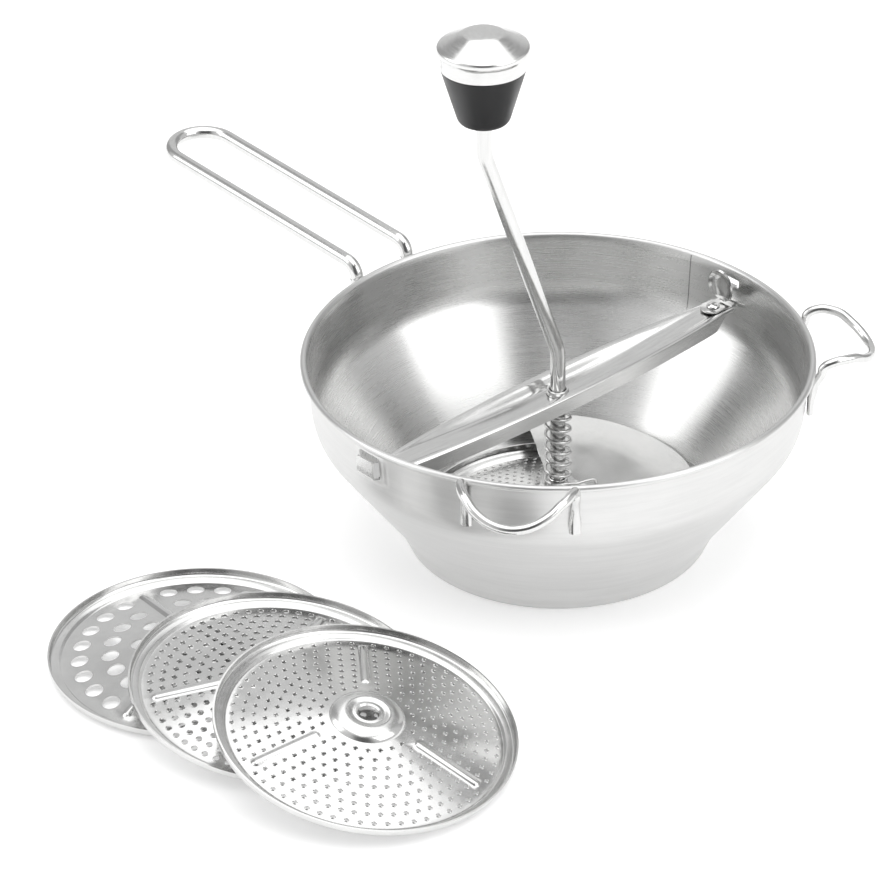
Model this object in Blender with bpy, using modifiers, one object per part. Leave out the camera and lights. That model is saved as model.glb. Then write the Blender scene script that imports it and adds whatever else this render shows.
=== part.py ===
"""Rotary food mill (24 cm) with its crank, fitted disc and three spare discs.

The mill stands on z = 0 with its axis vertical. The long handle points to -X, the bridge bar
lies along Y, and the spare discs lie on the same surface in front of the mill, on its -Y side.
Everything is built around the mill's axis, and one root empty then moves the whole set so that
the origin is at the bottom centre of its bounding box.
"""

import math

import bmesh
import bpy
from mathutils import Matrix, Vector

MM = 0.001
GAP = 0.3

# Driving dimensions, in millimetres.
RIM_RADIUS = 120.0
RIM_HEIGHT = 95.2
RIM_BEAD_RADIUS = 1.65
BOWL_WALL = 1.0
FOOT_RADIUS = 72.3
LIP_RADIUS = 64.5
LIP_HEIGHT = 2.0

HANDLE_WIRE_RADIUS = 3.25
HANDLE_HALF_WIDTH = 16.2
HANDLE_REACH = 272.2
HANDLE_RISE = math.radians(3.5)

HOOK_WIRE_RADIUS = 2.25
HOOK_HALF_WIDTH = 25.5
HOOK_REACH = 147.0
HOOK_ANGLE = math.radians(52.0)

BRIDGE_TOP = 79.0
BRIDGE_HALF_WIDTH = 13.0
BRIDGE_END_HALF_WIDTH = 7.0
BRIDGE_DEPTH = 7.5
BRIDGE_DISH = 5.4
BRIDGE_SHEET = 1.0
TONGUE_HALF_WIDTH = 5.2
TONGUE_WALL_CLEARANCE = 3.4
LUG_HEIGHT = 9.0
SLOT_WIDTH = 13.0
SLOT_BOTTOM = 77.6
SLOT_TOP = 89.8

TAB_PIVOT_Y = 110.0
TAB_HEIGHT = 18.0
TAB_HALF_WIDTH = 7.8
RIVET_Y = 103.0
NOSE_HEIGHT = 87.0

ROD_RADIUS = 3.6
ROD_TIP = 10.4
ROD_TOP = 247.0
CRANK_THROW = 33.3
CRANK_LOWER_BEND = 96.5
CRANK_UPPER_BEND = 198.7
CRANK_BEND_RADIUS = 24.0
CRANK_HEADING = math.radians(226.3)

KNOB_BOTTOM = 215.6
KNOB_CAP_EDGE = 243.0

SPRING_RADIUS = 5.9
SPRING_WIRE_RADIUS = 0.8
SPRING_TOP = 68.7
SPRING_BOTTOM = 26.7
SPRING_TURNS = 7.5

BLADE_LOW_ANGLE = math.radians(5.0)
BLADE_HIGH_ANGLE = math.radians(150.0)
BLADE_SHEET = 1.2

DISC_RADIUS = 67.5
DISC_SHEET = 0.8
DISC_RIM_HEIGHT = 5.8
PLATE_EDGE_RADIUS = 61.7
PLATE_SLOPE = 0.2
DOME_RADIUS = 16.5
DOME_HEIGHT = 12.0
HUB_HOLE_RADIUS = 4.5
FITTED_DISC_Z = 1.1
COARSE_HOLE_RADIUS = 4.1
COARSE_ROWS = ((25.5, 3), (39.0, 6), (53.0, 8))
COARSE_RIB_HEADING = 46.5

# Spare discs: the heading of the fan, the step between centres and each disc's lean.
FAN_START = Vector((-32.0, -196.5, 0.0))
FAN_HEADING = math.radians(1.4)
FAN_DOWNHILL = math.radians(13.0)
FAN_STEP = 56.2
FAN_LEANS = (0.0, 7.0, 11.5)

PARTS = "food_mill"
CUTTERS = "food_mill_cutters"


# ---------------------------------------------------------------- scene, materials, helpers

def clear_scene():
    for obj in list(bpy.data.objects):
        bpy.data.objects.remove(obj, do_unlink=True)


def make_collection(name):
    collection = bpy.data.collections.new(name)
    bpy.context.scene.collection.children.link(collection)
    return collection


def make_material(name, colour, roughness, metallic):
    material = bpy.data.materials.new(name)
    material.use_nodes = True
    shader = material.node_tree.nodes["Principled BSDF"]
    shader.inputs["Base Color"].default_value = (*colour, 1.0)
    shader.inputs["Roughness"].default_value = roughness
    shader.inputs["Metallic"].default_value = metallic
    return material


def steel(name, brightness, roughness):
    return make_material(name, (brightness, brightness, brightness * 0.985), roughness, 1.0)


def make_empty(name, location, parent=None):
    empty = bpy.data.objects.new(name, None)
    bpy.data.collections[PARTS].objects.link(empty)
    empty.location = Vector(location) * MM
    if parent is not None:
        empty.parent = parent
    return empty


def add_object(name, data, material, parent, collection=PARTS):
    obj = bpy.data.objects.new(name, data)
    bpy.data.collections[collection].objects.link(obj)
    if material is not None:
        data.materials.append(material)
    if parent is not None:
        obj.parent = parent
    return obj


def hide_cutter(obj):
    obj.hide_render = True
    obj.display_type = "WIRE"


def finish_mesh(name, bm, material, parent, collection=PARTS):
    mesh = bpy.data.meshes.new(name)
    bm.to_mesh(mesh)
    bm.free()
    return add_object(name, mesh, material, parent, collection)


def shade_round(obj, angle=35.0):
    obj.data.shade_smooth()
    obj.data.set_sharp_from_angle(angle=math.radians(angle))


def polar(radius, angle, z=0.0):
    return Vector((radius * math.cos(angle), radius * math.sin(angle), z))


def smoothstep(value):
    t = min(max(value, 0.0), 1.0)
    return t * t * (3.0 - 2.0 * t)


def interpolate(points, value):
    """Height of a smooth curve through (position, height) pairs."""
    if value <= points[0][0]:
        return points[0][1]
    for (x0, y0), (x1, y1) in zip(points, points[1:]):
        if value <= x1:
            return y0 + (y1 - y0) * (value - x0) / (x1 - x0)
    return points[-1][1]


def bezier(start, control, end, count):
    """Points of a quadratic curve, both ends included."""
    points = []
    for i in range(count + 1):
        t = i / count
        a = (1.0 - t) * (1.0 - t)
        b = 2.0 * t * (1.0 - t)
        points.append(tuple(a * s + b * c + t * t * e for s, c, e in zip(start, control, end)))
    return points


def arc(centre, radius, start_deg, end_deg, count):
    points = []
    for i in range(count + 1):
        angle = math.radians(start_deg + (end_deg - start_deg) * i / count)
        points.append((centre[0] + radius * math.cos(angle), centre[1] + radius * math.sin(angle)))
    return points


def offset_line(points, distance):
    """The same line moved to its right-hand side: towards the axis for a line that runs down."""
    result = []
    for i, point in enumerate(points):
        before = Vector(points[max(i - 1, 0)])
        after = Vector(points[min(i + 1, len(points) - 1)])
        along = (after - before).normalized()
        result.append((point[0] + along.y * distance, point[1] - along.x * distance))
    return result


def turned(name, profile, material, parent, steps, closed=True, collection=PARTS):
    """A turned piece: the profile, in millimetres, runs down its outer side."""
    bm = bmesh.new()
    verts = [bm.verts.new((r * MM, 0.0, z * MM)) for r, z in profile]
    for a, b in zip(verts, verts[1:]):
        bm.edges.new((a, b))
    if closed:
        bm.edges.new((verts[-1], verts[0]))
    obj = finish_mesh(name, bm, material, parent, collection)
    screw = obj.modifiers.new("turn", "SCREW")
    screw.steps = steps
    screw.render_steps = steps
    screw.use_merge_vertices = True
    screw.merge_threshold = 0.00001
    screw.use_smooth_shade = True
    return obj


def ring(name, inner, outer, bottom, top, material, parent, steps=20):
    profile = [(outer, top), (outer, bottom), (inner, bottom), (inner, top)]
    return turned(name, profile, material, parent, steps)


def round_corners(corners, radii, step_deg=15.0):
    """A path through corner points with each inner corner rounded by an arc."""
    points = [Vector(corners[0])]
    for i in range(1, len(corners) - 1):
        corner = Vector(corners[i])
        back = (Vector(corners[i - 1]) - corner).normalized()
        ahead = (Vector(corners[i + 1]) - corner).normalized()
        turn = math.pi - back.angle(ahead)
        if radii[i - 1] <= 0.0 or turn < 0.01:
            points.append(corner)
            continue
        reach = radii[i - 1] * math.tan(turn / 2.0)
        start = corner + back * reach
        end = corner + ahead * reach
        centre = corner + (back + ahead).normalized() * (radii[i - 1] / math.cos(turn / 2.0))
        count = max(2, round(math.degrees(turn) / step_deg))
        for k in range(count + 1):
            t = k / count
            a = math.sin((1.0 - t) * turn) / math.sin(turn)
            b = math.sin(t * turn) / math.sin(turn)
            points.append(centre + (start - centre) * a + (end - centre) * b)
    points.append(Vector(corners[-1]))
    return points


def wire(name, points, radius, material, parent, sides=2, end_scale=None):
    """A round wire or rod along a path, as a curve with filled caps."""
    curve = bpy.data.curves.new(name, "CURVE")
    curve.dimensions = "3D"
    curve.bevel_depth = radius * MM
    curve.bevel_resolution = sides
    curve.use_fill_caps = True
    spline = curve.splines.new("POLY")
    spline.points.add(len(points) - 1)
    for spline_point, point in zip(spline.points, points):
        spline_point.co = (*(Vector(point) * MM), 1.0)
    if end_scale is not None:
        spline.points[0].radius = end_scale
    return add_object(name, curve, material, parent)


def to_mesh_object(obj):
    """Swap a curve object for a mesh object with welded caps."""
    bpy.context.view_layer.update()
    depsgraph = bpy.context.evaluated_depsgraph_get()
    mesh = bpy.data.meshes.new_from_object(obj.evaluated_get(depsgraph))
    bm = bmesh.new()
    bm.from_mesh(mesh)
    bmesh.ops.remove_doubles(bm, verts=bm.verts, dist=0.00001)
    bm.to_mesh(mesh)
    bm.free()
    name = obj.name
    parent = obj.parent
    place = obj.matrix_local.copy()
    bpy.data.objects.remove(obj, do_unlink=True)
    mesh.name = name
    swapped = add_object(name, mesh, None, parent)
    swapped.matrix_local = place
    return swapped


def box_cutter(name, size, centre, parent, turn=0.0):
    bm = bmesh.new()
    bmesh.ops.create_cube(bm, size=1.0, matrix=Matrix.Diagonal(Vector((*size, 1.0))))
    bmesh.ops.scale(bm, vec=(MM, MM, MM), verts=bm.verts)
    obj = finish_mesh(name, bm, None, parent, CUTTERS)
    obj.location = Vector(centre) * MM
    obj.rotation_euler.z = turn
    hide_cutter(obj)
    return obj


def round_cutter(name, radius, length, centre, parent, axis="Z", segments=16):
    bm = bmesh.new()
    bmesh.ops.create_cone(
        bm, cap_ends=True, segments=segments,
        radius1=radius * MM, radius2=radius * MM, depth=length * MM,
    )
    if axis == "X":
        bmesh.ops.rotate(bm, matrix=Matrix.Rotation(math.pi / 2.0, 3, "Y"), verts=bm.verts)
    obj = finish_mesh(name, bm, None, parent, CUTTERS)
    obj.location = Vector(centre) * MM
    hide_cutter(obj)
    return obj


def boolean(obj, other, operation="DIFFERENCE"):
    modifier = obj.modifiers.new(f"{operation.lower()}_{other.name}", "BOOLEAN")
    modifier.operation = operation
    modifier.object = other
    modifier.solver = "EXACT"


def thicken(obj, thickness, offset):
    solidify = obj.modifiers.new("sheet", "SOLIDIFY")
    solidify.thickness = thickness * MM
    solidify.offset = offset
    solidify.use_even_offset = True


# ---------------------------------------------------------------- bowl, handle and rest hooks

def bowl_outer_line():
    """The bowl's outer face from under the rim down to the foot."""
    wall_top = (RIM_RADIUS - 2.9, RIM_HEIGHT - 3.6)
    shoulder = bezier((115.5, 73.0), (115.0, 64.3), (110.8, 58.5), 4)
    throat = bezier((80.0, 16.2), (77.4, 12.6), (76.0, 9.0), 3)
    return [wall_top, *shoulder, *throat, (FOOT_RADIUS, 1.0)]


def bowl_wall_radius(z):
    """Outer radius of the straight band between the shoulder and the rim."""
    return interpolate([(73.0, 115.5), (RIM_HEIGHT - 3.6, RIM_RADIUS - 2.9)], z)


def make_bowl(material, parent):
    outer = bowl_outer_line()
    inner = offset_line(outer, BOWL_WALL)
    bead = arc(
        (RIM_RADIUS - RIM_BEAD_RADIUS, RIM_HEIGHT - RIM_BEAD_RADIUS), RIM_BEAD_RADIUS, 165, -75, 6
    )
    foot = [(FOOT_RADIUS - 0.8, 0.0), (LIP_RADIUS, 0.0), (LIP_RADIUS, LIP_HEIGHT)]
    ledge = [(FOOT_RADIUS - 1.0, LIP_HEIGHT)]
    rising = list(reversed(inner[:-1]))
    bowl = turned("bowl", bead + outer + foot + ledge + rising, material, parent, 60)
    slot = box_cutter(
        "tongue_slot", (SLOT_WIDTH, 12.0, SLOT_TOP - SLOT_BOTTOM),
        (0.0, -bowl_wall_radius(82.0), (SLOT_TOP + SLOT_BOTTOM) / 2.0), parent,
    )
    boolean(bowl, slot)
    catch = box_cutter(
        "nose_slot", (9.0, 12.0, 4.2), (0.0, bowl_wall_radius(NOSE_HEIGHT), NOSE_HEIGHT + 1.4), parent
    )
    boolean(bowl, catch)
    return bowl


def make_long_handle(material, parent):
    """One wire bent into a long loop, its two ends turned down and welded to the bowl's wall."""
    width = HANDLE_HALF_WIDTH
    rise = math.tan(HANDLE_RISE)
    stand_off = HANDLE_WIRE_RADIUS + GAP

    def beside_wall(z, extra):
        radius = bowl_wall_radius(z) + stand_off + extra
        return -math.sqrt(radius * radius - width * width)

    over_rim = beside_wall(RIM_HEIGHT - 3.0, 3.2)
    height = RIM_HEIGHT + 3.8
    leg = [
        Vector((beside_wall(66.0, 0.9), width, 66.0)),
        Vector((beside_wall(82.0, 0.2), width, 82.0)),
        Vector((over_rim, width, 91.0)),
        Vector((over_rim, width, height)),
        Vector((-200.0, width, height + rise * (200.0 + over_rim))),
    ]
    side = round_corners(leg, (10.0, 8.0, 7.0), 20.0)
    round_end = HANDLE_REACH - width
    points = list(side)
    for i in range(11):
        angle = math.pi / 2.0 - math.pi * i / 10.0
        reach = round_end + width * math.cos(angle)
        points.append(Vector((-reach, width * math.sin(angle), height + rise * (reach + over_rim))))
    points += [Vector((p.x, -p.y, p.z)) for p in reversed(side)]
    return wire("long_handle", points, HANDLE_WIRE_RADIUS, material, parent)


def make_hook(name, angle, material, parent):
    """A wire rest: two legs welded to the wall, and a loop that rises, reaches out and dips."""
    stand_off = HOOK_WIRE_RADIUS + GAP
    start_radius = RIM_RADIUS + stand_off
    spread = math.asin(HOOK_HALF_WIDTH / start_radius)

    def at(radius, side, z):
        return polar(radius, angle + side * spread, z)

    leg = [
        (bowl_wall_radius(73.0) + stand_off + 0.2, 70.5),
        (bowl_wall_radius(84.0) + stand_off, 84.0),
        (start_radius, 91.5),
        (start_radius + 0.4, 94.0),
    ]
    left = [at(radius, -1.0, z) for radius, z in leg]
    right = [at(radius, 1.0, z) for radius, z in leg]
    crest = [(0.0, 96.2), (4.5, 97.8), (12.0, 97.0), (19.0, 92.6), (HOOK_REACH - start_radius, 88.6)]
    out = Vector((math.cos(angle), math.sin(angle), 0.0))
    across = Vector((-math.sin(angle), math.cos(angle), 0.0))
    root = start_radius * math.cos(spread) + 2.6
    loop = []
    for i in range(17):
        turn = math.pi * i / 16.0
        reach = (HOOK_REACH - root) * math.sin(turn)
        z = interpolate(crest, reach - 1.0)
        loop.append(
            out * (root + reach)
            - across * HOOK_HALF_WIDTH * math.cos(turn) * (1.0 - 0.02 * reach / HOOK_HALF_WIDTH)
            + Vector((0.0, 0.0, z))
        )
    points = left + loop + list(reversed(right))
    return wire(name, points, HOOK_WIRE_RADIUS, material, parent)


# ---------------------------------------------------------------- bridge bar and its latch

def bridge_half_width(y):
    middle = math.cos(min(abs(y) / 104.0, 1.0) * math.pi / 2.0)
    return BRIDGE_END_HALF_WIDTH + (BRIDGE_HALF_WIDTH - BRIDGE_END_HALF_WIDTH) * middle ** 0.8


def bridge_section(y, s):
    """Place across the bar for s from -1 to 1: flange, rail, dished web, rail, flange."""
    half = bridge_half_width(y)
    end_fade = smoothstep((abs(y) - 98.0) / 9.0)
    depth = BRIDGE_DEPTH * (1.0 - 0.93 * end_fade)
    dish = BRIDGE_DISH * smoothstep(1.15 - abs(y) / 95.0)
    size = abs(s)
    if size > 0.7:
        fall = (size - 0.7) / 0.3
        x = half + 0.6 * fall
        z = BRIDGE_TOP - depth * fall
    elif size > 0.5:
        x = half * (0.78 + 0.22 * (size - 0.5) / 0.2)
        z = BRIDGE_TOP
    else:
        x = half * 0.78 * size / 0.5
        z = BRIDGE_TOP - 0.4 - dish * (1.0 - smoothstep((size - 0.28) / 0.22))
    return math.copysign(x, s), z


def make_bridge(material, parent):
    """One sheet pressed into a channel. Its front end is a tongue that passes out through the
    slot in the wall and turns up outside it as a lug."""
    inner_y = 104.0
    far_end = 114.3
    wall = bowl_wall_radius(80.0)
    lug_y = -(wall + TONGUE_WALL_CLEARANCE)
    across = [-1.0, -0.85, -0.7, -0.5, -0.38, -0.28, -0.14, 0.0, 0.14, 0.28, 0.38, 0.5, 0.7, 0.85, 1.0]
    stations = [-inner_y + 2.0 * inner_y * i / 18.0 for i in range(19)] + [108.0, far_end]
    rows = []
    for y in stations:
        rows.append([(x, y, z) for x, z in (bridge_section(y, s) for s in across)])
    tongue_path = [
        (-109.0, BRIDGE_TOP), (-113.0, BRIDGE_TOP), (lug_y + 1.4, BRIDGE_TOP),
        (lug_y + 0.3, BRIDGE_TOP + 0.4), (lug_y, BRIDGE_TOP + 1.6),
        (lug_y, BRIDGE_TOP + LUG_HEIGHT),
    ]
    head = []
    for y, z in tongue_path:
        edge = max(TONGUE_HALF_WIDTH, BRIDGE_END_HALF_WIDTH + (y + 104.0) * 0.4)
        head.append([(edge * s, y, z) for s in across])
    rows = list(reversed(head)) + rows
    bm = bmesh.new()
    grid = [[bm.verts.new(Vector(p) * MM) for p in row] for row in rows]
    for row, following in zip(grid, grid[1:]):
        for i in range(len(across) - 1):
            bm.faces.new((row[i], row[i + 1], following[i + 1], following[i]))
    bridge = finish_mesh("bridge", bm, material, parent)
    bridge.location = -parent_place(parent)
    thicken(bridge, BRIDGE_SHEET, -1.0)
    boolean(bridge, round_cutter("bush_hole", 5.5, 30.0, (0.0, 0.0, 74.0), bridge))
    boolean(bridge, round_cutter("rivet_hole", 2.3, 6.0, (0.0, RIVET_Y, BRIDGE_TOP), bridge, segments=12))
    return bridge


def parent_place(parent):
    """Where a parent empty stands relative to the mill's axis."""
    place = Vector((0.0, 0.0, 0.0))
    while parent is not None and parent.name != "set_origin":
        place += parent.location
        parent = parent.parent
    return place


def make_latch_leaf(material, parent):
    """The flat end of the spring leaf, riveted to the bar's web."""
    bm = bmesh.new()
    size = (11.0, TAB_PIVOT_Y - 1.2 - 96.5, 0.8)
    bmesh.ops.create_cube(bm, size=1.0, matrix=Matrix.Diagonal(Vector((*size, 1.0))))
    bmesh.ops.scale(bm, vec=(MM, MM, MM), verts=bm.verts)
    leaf = finish_mesh("latch_leaf", bm, material, parent)
    centre = Vector((0.0, 96.5 + size[1] / 2.0, BRIDGE_TOP + GAP + size[2] / 2.0)) * MM
    leaf.location = centre - parent_place(parent)
    hole = round_cutter("leaf_hole", 2.3, 6.0, (0.0, 0.0, 0.0), leaf, segments=12)
    hole.location = Vector((0.0, RIVET_Y * MM - centre.y, 0.0))
    boolean(leaf, hole)
    return leaf


def make_thumb_tab(material, parent):
    """The upturned, dished end of the leaf, with the nose that catches in the wall."""
    centre_z = 9.4
    rings = 4
    segments = 20
    bm = bmesh.new()
    middle = bm.verts.new((0.0, 0.0, centre_z * MM))
    loops = []
    for k in range(1, rings + 1):
        share = k / rings
        loop = []
        for i in range(segments):
            angle = 2.0 * math.pi * i / segments
            x = TAB_HALF_WIDTH * math.cos(angle) * share
            z = centre_z + (TAB_HEIGHT - centre_z) * math.sin(angle) * share
            z = max(z, centre_z - (centre_z - 0.4) * share)
            curl = -2.6 * share ** 4 * smoothstep(z / 6.0)
            loop.append(bm.verts.new((x * MM, curl * MM, z * MM)))
        loops.append(loop)
    for i in range(segments):
        j = (i + 1) % segments
        bm.faces.new((middle, loops[0][i], loops[0][j]))
        for inner, outer in zip(loops, loops[1:]):
            bm.faces.new((inner[i], outer[i], outer[j], inner[j]))
    bmesh.ops.recalc_face_normals(bm, faces=bm.faces)
    tab = finish_mesh("thumb_tab", bm, material, parent)
    thicken(tab, 0.9, 0.0)
    nose = box_cutter(
        "latch_nose", (7.0, 6.9, 1.2), (0.0, 3.45, NOSE_HEIGHT - BRIDGE_TOP - 0.7), tab
    )
    boolean(tab, nose, "UNION")
    return tab


def make_rivet(material, parent):
    top = BRIDGE_TOP + GAP + 0.8 + GAP
    bottom = BRIDGE_TOP - 0.4 - BRIDGE_SHEET - GAP - 0.2
    profile = [(0.0, top + 1.4), (1.9, top + 1.1), (3.2, top), (2.0, top)]
    profile += [(2.0, bottom), (3.0, bottom), (2.6, bottom - 1.0), (0.0, bottom - 1.2)]
    rivet = turned("latch_rivet", profile, material, parent, 16, closed=False)
    rivet.location = Vector((0.0, RIVET_Y * MM, 0.0)) - parent_place(parent)
    return rivet


def make_bush(material, parent):
    """The collar that carries the crank, flanged under the bar's web."""
    profile = [(5.2, 76.2), (5.2, 72.2), (7.0, 72.2), (7.0, 71.2), (3.9, 71.2), (3.9, 76.2)]
    bush = turned("bridge_bush", profile, material, parent, 24)
    bush.location = -parent_place(parent)
    return bush


# ---------------------------------------------------------------- crank, knob and spring

def crank_points():
    out = polar(CRANK_THROW, CRANK_HEADING)
    corners = [
        (0.0, 0.0, ROD_TIP + 2.6), (0.0, 0.0, CRANK_LOWER_BEND),
        (out.x, out.y, CRANK_UPPER_BEND), (out.x, out.y, ROD_TOP),
    ]
    return [Vector((0.0, 0.0, ROD_TIP))] + round_corners(corners, (CRANK_BEND_RADIUS, CRANK_BEND_RADIUS), 4.5)


def make_crank_rod(material, parent):
    rod = wire("crank_rod", crank_points(), ROD_RADIUS, material, parent, sides=3, end_scale=0.55)
    rod = to_mesh_object(rod)
    rod.data.materials.clear()
    rod.data.materials.append(material)
    boolean(rod, round_cutter("rod_pin_hole", 1.5, 12.0, (0.0, 0.0, 20.5), rod, axis="X", segments=10))
    return rod


def make_knob(grip_material, cap_material, bush_material, knob_parent, crank_parent):
    """The turning knob: moulded grip, pressed cap, sleeve, and the ring that keeps it on."""
    grip_profile = [
        (6.2, 249.6), (18.2, 249.6), (18.5, KNOB_CAP_EDGE + 0.2), (19.5, KNOB_CAP_EDGE - 0.4),
        (12.6, 219.0), (12.0, 217.0), (10.2, KNOB_BOTTOM), (5.6, KNOB_BOTTOM),
        (5.6, 240.0), (9.3, 240.0), (9.3, 246.0), (6.2, 246.0),
    ]
    turned("knob_grip", grip_profile, grip_material, knob_parent, 32)
    cap_profile = [
        (0.0, 260.2), (5.0, 260.1), (9.6, 259.4), (15.5, 256.2), (20.4, 253.5), (21.2, 252.4),
        (21.2, 251.2), (20.5, 250.3), (19.9, KNOB_CAP_EDGE), (18.9, KNOB_CAP_EDGE),
        (19.4, 250.6), (19.4, 251.9), (9.0, 257.9), (0.0, 258.6),
    ]
    turned("knob_cap", cap_profile, cap_material, knob_parent, 40, closed=False)
    ring("knob_sleeve", 3.9, 5.3, KNOB_BOTTOM + 0.6, 239.7, bush_material, knob_parent)
    ring("knob_retaining_ring", 3.85, 7.6, 240.4, 241.6, bush_material, crank_parent)


def make_spring(material, parent):
    """The coil spring that presses the blade down, with its tail bent over the blade's dome."""
    count = int(SPRING_TURNS * 14)
    points = []
    tail_heading = math.radians(46.3)
    reach_out = polar(16.4, tail_heading, SPRING_BOTTOM - 0.4)
    points.append(polar(18.2, tail_heading - 0.02, SPRING_BOTTOM - 4.6))
    points.append(polar(17.9, tail_heading, SPRING_BOTTOM - 1.8))
    points.append(reach_out)
    for i in range(count + 1):
        turn = i / 14.0
        height = smoothstep_ends(turn / SPRING_TURNS)
        z = SPRING_BOTTOM + (SPRING_TOP - SPRING_BOTTOM) * height
        points.append(polar(SPRING_RADIUS, tail_heading - 0.9 - 2.0 * math.pi * turn, z))
    spring = wire("spring", points, SPRING_WIRE_RADIUS, material, parent)
    return spring


def smoothstep_ends(t):
    """Height along the spring: the end coils are closed up, the middle ones are even."""
    ends = 0.09
    slope = 1.0 / (1.0 - ends)
    if t < ends:
        return slope * t * t / (2.0 * ends)
    if t > 1.0 - ends:
        return 1.0 - slope * (1.0 - t) ** 2 / (2.0 * ends)
    return slope * (t - ends / 2.0)


# ---------------------------------------------------------------- blade and its hub

BLADE_DOME = [(6.8, 21.2), (9.0, 20.6), (12.0, 17.8), (15.0, 14.6), (18.0, 12.3)]


def blade_point(radius_share, angle, ramp):
    """A point of the wing: near the disc at the trailing edge, high at the leading edge."""
    outer = 59.5 + 15.0 * smoothstep(ramp * 1.6)
    radius = 18.0 + (outer - 18.0) * radius_share
    low = 12.3 - 8.5 * radius_share
    high = 14.3 + 3.1 * smoothstep(radius_share * 1.3)
    return polar(radius, angle, low + (high - low) * ramp)


def make_blade(material, parent):
    """A pressed sheet: a full dome round the hub, and one wing that climbs round the axis."""
    count = 40
    shares = (0.0, 0.14, 0.32, 0.55, 0.78, 1.0)
    span = BLADE_HIGH_ANGLE - BLADE_LOW_ANGLE
    bm = bmesh.new()

    def ramp_at(angle):
        turn = (angle - BLADE_LOW_ANGLE) % (2.0 * math.pi)
        if turn > span:
            rest = (turn - span) / (2.0 * math.pi - span)
            return 1.0 - smoothstep(rest * 2.2)
        return smoothstep(turn / span * 1.02)

    angles = [BLADE_LOW_ANGLE + 2.0 * math.pi * i / count for i in range(count)]
    wing_columns = round(span / (2.0 * math.pi) * count)
    dome = []
    for radius, height in BLADE_DOME:
        lift = smoothstep((radius - 9.0) / 9.0)
        dome.append([
            bm.verts.new(polar(radius, a, height + 2.0 * lift * ramp_at(a)) * MM) for a in angles
        ])
    for inner, outer in zip(dome, dome[1:]):
        for i in range(count):
            j = (i + 1) % count
            bm.faces.new((inner[i], outer[i], outer[j], inner[j]))
    edge = dome[-1]
    wing = [edge[:wing_columns + 1]]
    for share in shares[1:]:
        row = []
        for i in range(wing_columns + 1):
            row.append(bm.verts.new(blade_point(share, angles[i], ramp_at(angles[i])) * MM))
        wing.append(row)
    for inner, outer in zip(wing, wing[1:]):
        for i in range(wing_columns):
            bm.faces.new((inner[i], outer[i], outer[i + 1], inner[i + 1]))
    bmesh.ops.recalc_face_normals(bm, faces=bm.faces)
    blade = finish_mesh("blade", bm, material, parent)
    thicken(blade, BLADE_SHEET, 0.0)
    return blade


def make_hub(material, pin_material, washer_material, parent):
    hub = ring("blade_hub", ROD_RADIUS + GAP, 6.4, 15.6, 24.0, material, parent, steps=24)
    boolean(hub, round_cutter("hub_pin_hole", 1.5, 20.0, (0.0, 0.0, 20.5), hub, axis="X", segments=10))
    bm = bmesh.new()
    bmesh.ops.create_cone(
        bm, cap_ends=True, segments=10, radius1=1.2 * MM, radius2=1.2 * MM, depth=12.6 * MM,
        matrix=Matrix.Translation((0.0, 0.0, 20.5 * MM)) @ Matrix.Rotation(math.pi / 2.0, 4, "Y"),
    )
    finish_mesh("hub_pin", bm, pin_material, parent)
    cup = [(4.7, 28.0), (4.7, 25.4), (8.2, 25.4), (8.2, 24.4), (3.95, 24.4), (3.95, 28.0)]
    turned("spring_cup", cup, washer_material, parent, 24)


# ---------------------------------------------------------------- discs

def disc_line():
    """The upper face of a disc: its rim, the plate's shallow cone, the boss and the boss's hole."""
    boss_foot = DISC_SHEET + PLATE_SLOPE * (PLATE_EDGE_RADIUS - DOME_RADIUS)
    boss = [(DOME_RADIUS, boss_foot), (14.6, boss_foot + 1.1), (11.4, 12.3), (8.0, DOME_HEIGHT + 0.8)]
    rim = DISC_RADIUS
    plate_edge = [(rim - 2.0, 2.2), (rim - 4.4, 2.0), (PLATE_EDGE_RADIUS, DISC_SHEET)]
    lip = [(HUB_HOLE_RADIUS + 0.8, DOME_HEIGHT + 0.4), (HUB_HOLE_RADIUS, DOME_HEIGHT - 1.8)]
    return [(rim - 0.9, DISC_RIM_HEIGHT - 0.5), *plate_edge, *boss, *lip]


def make_disc(name, material, parent):
    upper = disc_line()
    lower = offset_line(upper, -DISC_SHEET)
    rim = DISC_RADIUS
    lip = [(rim - 0.8, DISC_RIM_HEIGHT), (rim - 0.2, DISC_RIM_HEIGHT), (rim, DISC_RIM_HEIGHT - 0.6)]
    loop = lip + lower[1:] + list(reversed(upper))
    return turned(name, loop, material, parent, 40)


def cut_coarse_holes(disc):
    """Rows of large round holes in three sectors between the radial ribs."""
    bm = bmesh.new()
    for radius, per_sector in COARSE_ROWS:
        for sector in range(3):
            for i in range(per_sector):
                share = (i + 0.5) / per_sector
                angle = math.radians(COARSE_RIB_HEADING + sector * 120.0 + 9.0 + 102.0 * share)
                spot = Matrix.Translation(polar(radius, angle, 5.0) * MM)
                bmesh.ops.create_cone(
                    bm, cap_ends=True, segments=8, matrix=spot, depth=24.0 * MM,
                    radius1=COARSE_HOLE_RADIUS * MM, radius2=COARSE_HOLE_RADIUS * MM,
                )
    cutter = finish_mesh("coarse_holes", bm, None, disc, CUTTERS)
    hide_cutter(cutter)
    boolean(disc, cutter)


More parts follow.
